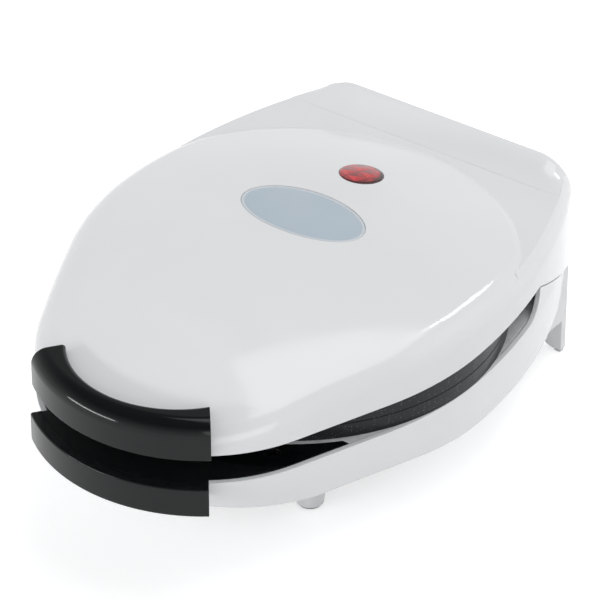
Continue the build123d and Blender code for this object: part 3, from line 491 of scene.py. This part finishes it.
off_joint = calc(tree, "ABSOLUTE", calc(tree, "SUBTRACT", height_here, meet_z))
# Painted shade: a dark line along the seam where the two dishes meet stands for the shadow in the
# gap; the coat along it is also made duller.
painted_seam_shade = spread(tree, off_joint, seam_shade_half, seam_shade_core)
tree.links.new(tinted(tree, painted_seam_shade, coat_colour, (0.003, 0.003, 0.003)),
               shader.inputs["Base Color"])
tree.links.new(calc(tree, "ADD", spread(tree, turning["Shade"], 0.0, 1.0, 0.30, 0.36),
                    calc(tree, "MULTIPLY", painted_seam_shade, 0.5)), shader.inputs["Roughness"])
coat_height = calc(tree, "MULTIPLY_ADD", turning["Height"], 0.5, flecks["Height"])
relief(tree, shader, coat_height, 0.16, 0.0003, edge["Normal"])
wear_on(dish_coat, "lower_dish", "upper_dish")


# Tubular heaters: drawn steel tube bent to a ring, blued and browned by heat, held to
# the backs of the dishes by saddle straps of rolled sheet steel.
heat_tint, taken, given = new_group(
    "heat_tint", [("Place", "Vector", None), ("Patch Scale", "Float", 45.0)],
    [("Colour", "Color"), ("Scale", "Float")])
heat = noise(heat_tint, taken["Place"], taken["Patch Scale"], 3.0, 0.8)
ramp = put(heat_tint, "ShaderNodeValToRGB", {"Fac": spread(heat_tint, heat, 0.3, 0.7)})
ramp.color_ramp.elements[0].color = (0.10, 0.105, 0.115, 1)
ramp.color_ramp.elements[1].color = (0.20, 0.14, 0.09, 1)
for at, colour in ((0.35, (0.13, 0.12, 0.13, 1)), (0.6, (0.17, 0.15, 0.13, 1))):
    ramp.color_ramp.elements.new(at).color = colour
heat_tint.links.new(ramp.outputs["Color"], given["Colour"])
heat_tint.links.new(noise(heat_tint, taken["Place"], 900.0, 4.0), given["Scale"])

heated_tube, tree, shader, where = new_finish("heated_tube", Metallic=1.0)
tint = grouped(tree, heat_tint, Place=where["Object"], Patch_Scale=60.0)
tree.links.new(tint["Colour"], shader.inputs["Base Color"])
tree.links.new(spread(tree, tint["Scale"], 0.3, 0.7, 0.38, 0.58), shader.inputs["Roughness"])
relief(tree, shader, tint["Scale"], 0.12, 0.0002)
wear_on(heated_tube, "lower_element", "upper_element")

rolled_grain, taken, given = new_group(
    "rolled_grain", [("Place", "Vector", None), ("Across Scale", "Float", 3000.0),
                     ("Along Scale", "Float", 60.0)],
    [("Height", "Float"), ("Shade", "Float")])
drawn_out = put(rolled_grain, "ShaderNodeVectorMath",
                {0: taken["Place"],
                 1: put(rolled_grain, "ShaderNodeCombineXYZ",
                        {0: taken["Along Scale"], 1: taken["Across Scale"],
                         2: taken["Across Scale"]}).outputs[0]}, operation="MULTIPLY").outputs[0]
grain = noise(rolled_grain, drawn_out, 1.0, 4.0)
rolled_grain.links.new(grain, given["Height"])
rolled_grain.links.new(spread(rolled_grain, grain, 0.3, 0.7), given["Shade"])


smudge_tone = 0.82
edge_shine = 1.2
smudge_dulling = 0.14


def sheet_metal(name, dark, bright, rough, radius=0.0002):
    """Finish of a pressed or rolled bright metal piece."""
    material, tree, shader, where = new_finish(name, Metallic=1.0)
    grain = grouped(tree, rolled_grain, Place=where["Object"])
    edge = grouped(tree, soft_edge, Place=where["Object"], Radius=radius, Patch_Scale=400.0)
    body = tinted(tree, grain["Shade"], dark, bright)
    smudge = spread(tree, noise(tree, where["Object"], 40.0, 5.0), 0.45, 0.75)
    body = tinted(tree, smudge, body, tuple(part * smudge_tone for part in dark))
    worn = tuple(min(1, part * edge_shine) for part in bright)
    tree.links.new(tinted(tree, edge["Wear"], body, worn), shader.inputs["Base Color"])
    tree.links.new(spread(tree, smudge, 0.0, 1.0, rough, rough + smudge_dulling),
                   shader.inputs["Roughness"])
    relief(tree, shader, grain["Height"], 0.08, 0.0002, edge["Normal"])
    return material


bright_sheet = sheet_metal("bright_sheet", (0.50, 0.51, 0.52), (0.64, 0.65, 0.66), 0.28)
wear_on(bright_sheet, "lower_element_clamps", "upper_element_clamps")


# Heat shields: pressed pans of bright steel under each dish, screwed to the dish's
# studs and by four ears to the deck. Thermostats are tin-plated caps, a little duller.
wear_on(sheet_metal("pressed_pan", (0.46, 0.47, 0.49), (0.60, 0.61, 0.62), 0.32, 0.0004),
        "lower_heat_shield", "upper_heat_shield")
wear_on(sheet_metal("tinned_cap", (0.50, 0.49, 0.46), (0.60, 0.59, 0.57), 0.38, 0.0003),
        "lower_thermostat", "upper_thermostat")


# Thermal fuses: inside a woven glass sleeve. The leads are stranded copper in heat-proof
# silicone, faintly streaked along their length.
woven_sleeve, taken, given = new_group(
    "woven_sleeve", [("Place", "Vector", None), ("Thread Scale", "Float", 420.0)],
    [("Height", "Float"), ("Shade", "Float")])
threads = []
for lean in (radians(45), radians(-45)):
    laid = put(woven_sleeve, "ShaderNodeMapping", {"Vector": taken["Place"],
                                                   "Rotation": (0, 0, lean)}).outputs[0]
    threads.append(put(woven_sleeve, "ShaderNodeTexWave",
                       {"Vector": laid, "Scale": taken["Thread Scale"], "Distortion": 0.6,
                        "Detail": 1.0}).outputs[1])
crossed = calc(woven_sleeve, "MAXIMUM", *threads)
woven_sleeve.links.new(crossed, given["Height"])
woven_sleeve.links.new(crossed, given["Shade"])

glass_sleeve, tree, shader, where = new_finish("glass_sleeve", Sheen_Weight=0.2)
weave = grouped(tree, woven_sleeve, Place=where["Object"])
tree.links.new(tinted(tree, weave["Shade"], (0.34, 0.29, 0.20), (0.66, 0.62, 0.50)),
               shader.inputs["Base Color"])
tree.links.new(spread(tree, weave["Shade"], 0.0, 1.0, 0.95, 0.80), shader.inputs["Roughness"])
relief(tree, shader, weave["Height"], 0.5, 0.0003)
wear_on(glass_sleeve, "lower_thermal_fuse", "upper_thermal_fuse")

silicone, tree, shader, where = new_finish("silicone", Subsurface_Weight=0.1)
streaks = grouped(tree, rolled_grain, Place=where["Object"], Across_Scale=1200.0,
                  Along_Scale=90.0)
tree.links.new(tinted(tree, streaks["Shade"], (0.52, 0.47, 0.36), (0.62, 0.58, 0.47)),
               shader.inputs["Base Color"])
tree.links.new(spread(tree, streaks["Shade"], 0.0, 1.0, 0.48, 0.62), shader.inputs["Roughness"])
relief(tree, shader, streaks["Height"], 0.1, 0.0002)
wear_on(silicone, "base_leads", "lid_leads")


# Deck: the white frame round the lower dish, with the slope and the two arm slots behind
# it. The lid's inner frame is its counterpart, in the same plastic, with the hinge arms.
deck_white = moulded("deck_white", (0.735, 0.745, 0.755), 0.28, (0.79, 0.80, 0.80),
                     peel_relief=0.14, shade_depth=0.985)
wear_on(deck_white, "deck_ring", "lid_frame")


# Bottom cover: a plain white plate under the rear block, held by two screws. It is
# textured by spark erosion, so it is duller than the shell.
wear_on(moulded("textured_white", (0.70, 0.71, 0.72), 0.48, (0.78, 0.79, 0.79),
                peel_scale=2600.0, peel_relief=0.5, dust=0.01), "bottom_cover")


# Lower handle: the strip round the nose and the crescent inset in the deck before the
# dish are one gloss black moulding. The upper handle stands on the lid in the same
# plastic; both show light wear on their edges and dust on top.
handle_black = moulded("handle_black", (0.0020, 0.0026, 0.0034), 0.10, (0.026, 0.028, 0.030),
                       radius=0.0007, dust=0.012, dust_colour=(0.12, 0.12, 0.12),
                       peel_relief=0.05, shade_depth=0.88, Specular_IOR_Level=0.30)
wear_on(handle_black, "lower_handle", "lid_handle")


# Screws: pan heads with a cross recess and a rounded crown, pressed from wire and
# zinc-plated; the two in the black crescent are blackened. One Geometry Nodes tree
# makes each of them where the CAD solid stands.
head_height = 0.002
screw_tree, taken, given = new_group(
    "cross_head_screw",
    [("Geometry", "Geometry", None), ("Head Radius", "Float", 0.0032),
     ("Head Height", "Float", head_height), ("Shank Radius", "Float", 0.0017),
     ("Shank Length", "Float", 0.006), ("Recess Length", "Float", 0.0036),
     ("Recess Width", "Float", 0.0008), ("Recess Depth", "Float", 0.0013),
     ("Metal", "Material", None)], [("Geometry", "Geometry")], "GeometryNodeTree")


def vector_of(tree, x, y, z):
    return put(tree, "ShaderNodeCombineXYZ", {0: x, 1: y, 2: z}).outputs[0]


crown_share = 0.18
crown_taper = -0.30
crown_sharpness = 4.0
top_share = 0.999
twist_range = 6.28
twist_seed = 7
wall_height = calc(screw_tree, "MULTIPLY", taken["Head Height"], 1 - crown_share)
blank = put(screw_tree, "GeometryNodeMeshCylinder",
            {"Vertices": 32, "Side Segments": 6, "Fill Segments": 4,
             "Radius": taken["Head Radius"], "Depth": wall_height})
lifted = put(screw_tree, "GeometryNodeTransform",
             {"Geometry": blank.outputs["Mesh"],
              "Translation": vector_of(screw_tree, 0.0, 0.0,
                                       calc(screw_tree, "MULTIPLY", wall_height, 0.5))})
spot = put(screw_tree, "GeometryNodeInputPosition").outputs[0]
axes = put(screw_tree, "ShaderNodeSeparateXYZ", {0: spot}).outputs
reach = calc(screw_tree, "SQRT", calc(screw_tree, "MULTIPLY_ADD", axes["X"], axes["X"],
                                      calc(screw_tree, "MULTIPLY", axes["Y"], axes["Y"])))
share_up = calc(screw_tree, "DIVIDE", axes["Z"], wall_height)
narrowing = calc(screw_tree, "MULTIPLY_ADD",
                 calc(screw_tree, "POWER", share_up, crown_sharpness), crown_taper, 1.0)
out_share = calc(screw_tree, "DIVIDE", reach, taken["Head Radius"])
dome = calc(screw_tree, "SUBTRACT", 1.0, calc(screw_tree, "MULTIPLY", out_share, out_share))
on_top = calc(screw_tree, "GREATER_THAN", share_up, top_share)
rise = calc(screw_tree, "MULTIPLY", calc(screw_tree, "MULTIPLY", dome, on_top),
            calc(screw_tree, "MULTIPLY", taken["Head Height"], crown_share))
shaped = put(screw_tree, "GeometryNodeSetPosition",
             {"Geometry": lifted.outputs[0],
              "Position": vector_of(screw_tree,
                                    calc(screw_tree, "MULTIPLY", axes["X"], narrowing),
                                    calc(screw_tree, "MULTIPLY", axes["Y"], narrowing),
                                    calc(screw_tree, "ADD", axes["Z"], rise))})
cutters = []
for long_x in (True, False):
    sides = [taken["Recess Length"], taken["Recess Width"]]
    if not long_x:
        sides.reverse()
    blade = put(screw_tree, "GeometryNodeMeshCube",
                {"Size": vector_of(screw_tree, sides[0], sides[1],
                                   calc(screw_tree, "MULTIPLY", taken["Recess Depth"], 2.0))})
    cutters.append(put(screw_tree, "GeometryNodeTransform",
                       {"Geometry": blade.outputs["Mesh"],
                        "Translation": vector_of(screw_tree, 0.0, 0.0,
                                                 taken["Head Height"])}).outputs[0])
cross = put(screw_tree, "GeometryNodeMeshBoolean", operation="UNION", solver="EXACT")
for cutter in cutters:
    screw_tree.links.new(cutter, cross.inputs["Mesh 2"])
driven = put(screw_tree, "GeometryNodeMeshBoolean",
             {"Mesh 1": shaped.outputs[0], "Mesh 2": cross.outputs["Mesh"]},
             operation="DIFFERENCE", solver="EXACT")
shank = put(screw_tree, "GeometryNodeMeshCylinder",
            {"Vertices": 24, "Side Segments": 12, "Radius": taken["Shank Radius"],
             "Depth": taken["Shank Length"]})
shank_low = put(screw_tree, "GeometryNodeTransform",
                {"Geometry": shank.outputs["Mesh"],
                 "Translation": vector_of(screw_tree, 0.0, 0.0, calc(
                     screw_tree, "MULTIPLY", taken["Shank Length"], -0.5))})
whole = put(screw_tree, "GeometryNodeJoinGeometry")
screw_tree.links.new(driven.outputs["Mesh"], whole.inputs[0])
screw_tree.links.new(shank_low.outputs[0], whole.inputs[0])
outward = put(screw_tree, "GeometryNodeInputNamedAttribute", {"Name": "outward"},
              data_type="FLOAT_VECTOR").outputs[0]
stand = put(screw_tree, "FunctionNodeAlignRotationToVector", {"Vector": outward}, axis="Z")
twist = put(screw_tree, "FunctionNodeRandomValue",
            {"Min": (0.0, 0.0, 0.0), "Max": (0.0, 0.0, twist_range), "Seed": twist_seed},
            data_type="FLOAT_VECTOR").outputs[0]
spun = put(screw_tree, "FunctionNodeRotateRotation",
           {0: stand.outputs[0],
            1: put(screw_tree, "FunctionNodeEulerToRotation", {0: twist}).outputs[0]},
           rotation_space="LOCAL")
rows = put(screw_tree, "GeometryNodeInstanceOnPoints",
           {"Points": taken["Geometry"], "Instance": whole.outputs[0],
            "Rotation": spun.outputs[0]})
solid = put(screw_tree, "GeometryNodeRealizeInstances", {0: rows.outputs[0]})
plated = put(screw_tree, "GeometryNodeSetMaterial", {"Geometry": solid.outputs[0],
                                                     "Material": taken["Metal"]})
screw_tree.links.new(plated.outputs[0], given["Geometry"])

zinc_tones = ((0.50, 0.51, 0.53), (0.66, 0.67, 0.68))
black_tones = ((0.012, 0.012, 0.013), (0.02, 0.02, 0.021))
zinc_plate = sheet_metal("zinc_plate", *zinc_tones, 0.22)
deck_zinc, tree, shader, where = new_finish("deck_zinc", Metallic=1.0)
grain = grouped(tree, rolled_grain, Place=where["Object"])
place_y = put(tree, "ShaderNodeSeparateXYZ", {0: where["Object"]}).outputs["Y"]
blackened = calc(tree, "LESS_THAN", place_y, 0.0)
tree.links.new(tinted(tree, blackened, tinted(tree, grain["Shade"], *zinc_tones),
                      tinted(tree, grain["Shade"], *black_tones)),
               shader.inputs["Base Color"])
tree.links.new(spread(tree, grain["Shade"], 0.0, 1.0, 0.26, 0.40), shader.inputs["Roughness"])
relief(tree, shader, grain["Height"], 0.08, 0.0002)

nose_radius = 0.0825
dish_outer_radius = 0.108
front_room = 0.0465
nose_y = nose_radius - dish_outer_radius - front_room + dish_axis_y
level_slack = 0.00001


def set_screws(node, metal, body, sideways=False):
    """Detailed screws in place of a node of plain ones, which stand upright, or sideways
    from the middle of the nose's arc."""
    places = []
    outwards = []
    for group in islands(node):
        centre = middle(group)
        axis = Vector((0, 0, 1))
        if sideways:
            axis = Vector((centre.x, centre.y - nose_y, 0)).normalized()
            mean = sum(group, Vector()) / len(group)
            centre += axis * (mean - centre).dot(axis)
        along = [(p - centre).dot(axis) for p in group]
        low = min(along)
        high = max(along)

        def width(level):
            return max((p - centre - axis * at).length for p, at in zip(group, along)
                       if abs(at - level) < level_slack)

        if width(low) > width(high):
            axis = -axis
            low, high = -high, -low
        places.append(centre + axis * (high - head_height))
        outwards.append(axis)
        shank_length = high - low - head_height
    mesh = bpy.data.meshes.new(node + "_places")
    mesh.from_pydata(places, [], [])
    field = mesh.attributes.new("outward", "FLOAT_VECTOR", "POINT")
    for k, axis in enumerate(outwards):
        field.data[k].vector = axis
    seed = bpy.data.objects.new(node + "_places", mesh)
    scene.collection.objects.link(seed)
    modifier = seed.modifiers.new("screws", "NODES")
    modifier.node_group = screw_tree
    keys = {item.name: item.identifier for item in screw_tree.interface.items_tree
            if item.in_out == "INPUT"}
    modifier[keys["Shank Length"]] = shank_length
    modifier[keys["Metal"]] = metal
    seed.update_tag()
    bpy.context.view_layer.update()
    shaped = bpy.data.meshes.new_from_object(seed.evaluated_get(
        bpy.context.evaluated_depsgraph_get()))
    bpy.data.objects.remove(seed)
    shaped.name = node.replace("_screws", "_cross_screws")
    piece = bpy.data.objects.new(shaped.name, shaped)
    scene.collection.objects.link(piece)
    smoothed(piece, 30)
    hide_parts(node)
    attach(piece, body)


for node in ("lower_dish_screws", "lower_shield_screws", "bottom_cover_screws"):
    set_screws(node, zinc_plate, "base")
set_screws("deck_screws", deck_zinc, "base")
set_screws("lower_handle_screws", zinc_plate, "base", True)
for node in ("lid_screws", "lid_handle_screws", "upper_dish_screws", "upper_shield_screws"):
    set_screws(node, zinc_plate, "lid")


# Hinge: a ground steel rod through the fixed ears and the lid's two arms, kept by an
# E-shaped clip of spring steel at each end.
wear_on(sheet_metal("ground_rod", (0.52, 0.53, 0.54), (0.66, 0.67, 0.68), 0.18, 0.0004),
        "hinge_pin")
wear_on(sheet_metal("spring_clip", (0.24, 0.24, 0.25), (0.34, 0.34, 0.35), 0.34, 0.0002),
        "hinge_pin_clips")


# Hinge plugs: the rod goes in through a hole in each flank, which a small domed plug of
# white plastic closes. Each plug is pressed in and has a shallow dimple in its face.
pin_low, pin_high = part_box("hinge_pin")
pin_y = (pin_low[1] + pin_high[1]) * 500 - dish_axis_y * 1000
pin_z = (pin_low[2] + pin_high[2]) * 500
flank_face = 77.3
plug_radius = 2.45
plug_length = 3.2
plug_profile = [(0.4, -plug_length), (1.9, -plug_length), (plug_radius, -2.6),
                (plug_radius, -0.25), (plug_radius - 0.25, -0.03), (1.5, 0.0), (1.1, -0.12),
                (0.2, -0.3)]


def sealed(obj):
    """Joins points that coincide and turns the faces outwards."""
    work = bmesh.new()
    work.from_mesh(obj.data)
    bmesh.ops.remove_doubles(work, verts=work.verts, dist=weld_distance)
    bmesh.ops.recalc_face_normals(work, faces=work.faces)
    work.to_mesh(obj.data)
    work.free()
    return obj


turned_points, turned_faces = lathe(plug_profile, 40)
plug_parts = [([(side * (flank_face + h), pin_y + y * side, pin_z + x)
                for x, y, h in turned_points], turned_faces) for side in (1, -1)]
plugs = smoothed(sealed(merged("hinge_plugs", plug_parts)), 45)
plugs.data.materials.append(foot_white)
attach(plugs, "base")


# Lid shell: the dome, the rear block and the slanted skirts in one high-gloss white
# moulding. Broad flow waves show in its reflections.
gloss_white = moulded("gloss_white", (0.785, 0.795, 0.805), 0.10, (0.85, 0.86, 0.86),
                      radius=0.0007, flow_scale=14.0, peel_relief=0.05)
wear_on(gloss_white, "lid_shell")


# Badge: a bare oval inlay pressed flush into the dome. A thin raised rim in pale satin
# goes round a blue-grey field that is printed from behind and slightly sunk.
badge_low, badge_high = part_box("badge_plate")
badge_half = ((badge_high[0] - badge_low[0]) * 500, (badge_high[1] - badge_low[1]) * 500)
badge_middle_y = ((badge_high[1] + badge_low[1]) / 2 - dish_axis_y) * 1000
dome_radius = 385.0
dome_axis_y = -3.0
dome_top_z = badge_high[2] * 1000
badge_segments = 160


def dome_height(x, y):
    return dome_top_z - dome_radius + sqrt(dome_radius ** 2 - x ** 2 - (y - dome_axis_y) ** 2)


def oval_shell(rings):
    """Closed oval frame that follows the dome, from (inset, depth) rings: inset from the
    badge's outline and depth under the dome's surface."""
    points = []
    faces = []
    for inset, depth in rings:
        for k in range(badge_segments):
            turn = 2 * pi * k / badge_segments
            x = (badge_half[0] - inset) * cos(turn)
            y = badge_middle_y + (badge_half[1] - inset) * sin(turn)
            points.append((x, y, dome_height(x, y) - depth))
    for r in range(len(rings) - 1):
        for k in range(badge_segments):
            n = (k + 1) % badge_segments
            a = r * badge_segments
            faces.append((a + k, a + n, a + badge_segments + n, a + badge_segments + k))
    return points, faces


rim_width = 1.7
plate_thickness = 1.2
field_depth = 0.30
rim_rings = [(rim_width, plate_thickness), (0.0, plate_thickness), (0.0, 0.30), (0.10, 0.12),
             (0.35, 0.02), (0.8, 0.0), (1.25, 0.03), (1.55, 0.14), (rim_width, 0.32),
             (rim_width, plate_thickness)]
badge_rim = smoothed(sealed(mesh_object("badge_rim", *oval_shell(rim_rings))), 50)
badge_rim.data.materials.append(moulded("rim_satin", (0.60, 0.64, 0.68), 0.22,
                                        (0.75, 0.77, 0.79), radius=0.0003))

field_shares = (1.0, 0.96, 0.85, 0.7, 0.55, 0.4, 0.25, 0.12)
field_points = []
field_faces = []
for level in (field_depth, plate_thickness):
    base_index = len(field_points)
    for share in field_shares:
        for k in range(badge_segments):
            turn = 2 * pi * k / badge_segments
            x = (badge_half[0] - rim_width) * share * cos(turn)
            y = badge_middle_y + (badge_half[1] - rim_width) * share * sin(turn)
            field_points.append((x, y, dome_height(x, y) - level))
    field_points.append((0, badge_middle_y, dome_height(0, badge_middle_y) - level))
    top_side = level == field_depth
    for r in range(len(field_shares)):
        for k in range(badge_segments):
            n = (k + 1) % badge_segments
            a = base_index + r * badge_segments
            if r + 1 < len(field_shares):
                face = (a + k, a + n, a + badge_segments + n, a + badge_segments + k)
            else:
                face = (a + k, a + n, base_index + len(field_shares) * badge_segments)
            field_faces.append(face if top_side else tuple(reversed(face)))
under = len(field_points) // 2
for k in range(badge_segments):
    n = (k + 1) % badge_segments
    field_faces.append((k, under + k, under + n, n))
badge_field = smoothed(mesh_object("badge_field", field_points, field_faces), 50)
field_paint, tree, shader, where = new_finish("badge_field_paint", Coat_Roughness=0.12,
                                              Coat_IOR=1.45)
drift = spread(tree, noise(tree, where["Object"], 30.0, 2.0), 0.3, 0.7)
fine = noise(tree, where["Object"], 5200.0, 2.0)
satin = tinted(tree, drift, (0.440, 0.520, 0.585), (0.470, 0.545, 0.610))
flakes = spread(tree, fine, 0.58, 0.75)
tree.links.new(tinted(tree, flakes, satin, (0.57, 0.62, 0.66)), shader.inputs["Base Color"])
tree.links.new(spread(tree, fine, 0.3, 0.7, 0.30, 0.42), shader.inputs["Roughness"])
tree.links.new(spread(tree, drift, 0.0, 1.0, 0.25, 0.40), shader.inputs["Coat Weight"])
relief(tree, shader, fine, 0.05, 0.0001)
badge_field.data.materials.append(field_paint)
for piece in (badge_rim, badge_field):
    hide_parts("badge_plate")
    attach(piece, "lid")


# Indicator lens: clear red acrylic with a low crown, prisms moulded into its back and a
# flange that clips under the dome. Light from the lamp behind it breaks on the prisms; the
# light and shade on the prism faces, the dark lines between them and the darkening
# towards the rim are painted into the red.
lens_radius = 11.25
lens_y = 60.3
lens_rise = 0.9
lens_depth = 3.8
flange_radius = 13.3
flange_thickness = 0.8
lens_rounding = 0.35
lens_tilt = asin((lens_y - dome_axis_y) / dome_radius)
lens_centre = Vector((0, lens_y * 0.001 + dish_axis_y, dome_height(0, lens_y) * 0.001))
lens_frame = Matrix.Translation(lens_centre) @ Matrix.Rotation(-lens_tilt, 4, "X")
crown_radius = (lens_radius ** 2 + lens_rise ** 2) / (2 * lens_rise)


def crown_height(radius):
    return lens_rise - crown_radius + sqrt(crown_radius ** 2 - radius ** 2)


lens_profile = [(0.2, -lens_depth + 0.5), (lens_radius - 1.6, -lens_depth + 0.5),
                (lens_radius - 1.2, -lens_depth), (flange_radius, -lens_depth),
                (flange_radius, -lens_depth + flange_thickness),
                (lens_radius, -lens_depth + flange_thickness), (lens_radius, -0.30),
                (lens_radius - 0.10, -0.08),
                (lens_radius - lens_rounding, crown_height(lens_radius - lens_rounding))]
for share in (0.88, 0.76, 0.62, 0.48, 0.34, 0.2, 0.08):
    lens_profile.append((lens_radius * share, crown_height(lens_radius * share)))
lens = mesh_object("faceted_lens", *lathe(lens_profile, 72))
for vert in lens.data.vertices:
    vert.co = lens_frame @ (vert.co - Vector((0, dish_axis_y, 0)))
smoothed(lens, 40)

# Painted light: lit and shaded tones for the prism faces, chosen by the side each face turns to.
painted_side_light = (0.05, 0.70)
painted_end_light = (0.95, 0.35)
prisms, taken, given = new_group(
    "prisms", [("Place", "Vector", None), ("Cell", "Float", 0.0045)],
    [("Height", "Float"), ("Painted Facet Light", "Float")])
flat = put(prisms, "ShaderNodeSeparateXYZ", {0: taken["Place"]}).outputs
offs = []
for label in ("X", "Y"):
    run = calc(prisms, "DIVIDE", flat[label], taken["Cell"])
    offs.append(calc(prisms, "SUBTRACT", calc(prisms, "FRACT", run), 0.5))
wide = calc(prisms, "ABSOLUTE", offs[0])
deep = calc(prisms, "ABSOLUTE", offs[1])
prisms.links.new(calc(prisms, "SUBTRACT", 0.5, calc(prisms, "MAXIMUM", wide, deep)),
                 given["Height"])
across = calc(prisms, "GREATER_THAN", wide, deep)
# Painted light: each face of a prism gets a fixed light or dark tone by its side.
painted_light_x = spread(prisms, calc(prisms, "GREATER_THAN", offs[0], 0.0), 0.0, 1.0, *painted_side_light)
painted_light_y = spread(prisms, calc(prisms, "GREATER_THAN", offs[1], 0.0), 0.0, 1.0, *painted_end_light)
painted_facet_light = put(prisms, "ShaderNodeMix", {0: across, 2: painted_light_y, 3: painted_light_x}).outputs[0]
prisms.links.new(painted_facet_light, given["Painted Facet Light"])

lens_red, tree, shader, where = new_finish("lens_red", Transmission_Weight=0.06, IOR=1.49,
                                           Specular_IOR_Level=0.15, Coat_Roughness=0.02,
                                           Coat_IOR=1.45)
prism_size = 0.0078
prism_shift = 0.0012
prism_turn = radians(24)
# Radii between which the painted shade at the lens's rim deepens.
rim_shade_start = 0.0094
rim_shade_end = 0.0110
on_lens = put(tree, "ShaderNodeMapping",
              {"Vector": where["Object"],
               "Location": (prism_shift, -lens_y * 0.001 - dish_axis_y, 0)}).outputs[0]
turned_lens = put(tree, "ShaderNodeMapping", {"Vector": on_lens,
                                              "Rotation": (0, 0, prism_turn)}).outputs[0]
faces = grouped(tree, prisms, Place=turned_lens, Cell=prism_size)
# Painted light and shade: across the prism faces the red runs from a shaded dark red to a lit
# bright red.
body = tinted(tree, faces["Painted Facet Light"], (0.22, 0.012, 0.016), (0.70, 0.060, 0.070))
# Painted shade: dark lines along the valleys between the prisms.
painted_valley_shade = spread(tree, faces["Height"], 0.03, 0.0)
body = tinted(tree, painted_valley_shade, body, (0.13, 0.012, 0.014))
out = put(tree, "ShaderNodeVectorMath", {0: on_lens, 1: (1, 1, 0)},
          operation="MULTIPLY").outputs[0]
out = put(tree, "ShaderNodeVectorMath", {0: out}, operation="LENGTH").outputs["Value"]
# Painted shade: the red darkens towards the lens's rim.
painted_rim_shade = spread(tree, out, rim_shade_start, rim_shade_end)
tree.links.new(tinted(tree, painted_rim_shade, body, (0.055, 0.008, 0.012)), shader.inputs["Base Color"])
clouding = noise(tree, where["Object"], 300.0, 3.0)
tree.links.new(spread(tree, clouding, 0.3, 0.7, 0.10, 0.18), shader.inputs["Roughness"])
tree.links.new(spread(tree, clouding, 0.3, 0.7, 0.9, 1.0), shader.inputs["Coat Weight"])
relief(tree, shader, faces["Height"], 0.35, 0.0020)
lens.data.materials.append(lens_red)
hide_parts("indicator_lens")
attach(lens, "lid")


# Lamp holder: a white cup of heat-proof plastic that clips behind the lens, slightly
# yellowed. The neon lamp lies across it: a clear glass tube with rounded ends.
wear_on(moulded("holder_white", (0.70, 0.69, 0.64), 0.40, (0.76, 0.75, 0.71), dust=0.01),
        "lamp_holder")
lamp_glass, tree, shader, where = new_finish("lamp_glass", Transmission_Weight=0.85, IOR=1.5)
soot = spread(tree, noise(tree, where["Object"], 260.0, 4.0), 0.45, 0.75)
tree.links.new(tinted(tree, soot, (0.93, 0.80, 0.66), (0.42, 0.30, 0.22)),
               shader.inputs["Base Color"])
tree.links.new(spread(tree, soot, 0.0, 1.0, 0.04, 0.22), shader.inputs["Roughness"])
wear_on(lamp_glass, "neon_lamp")
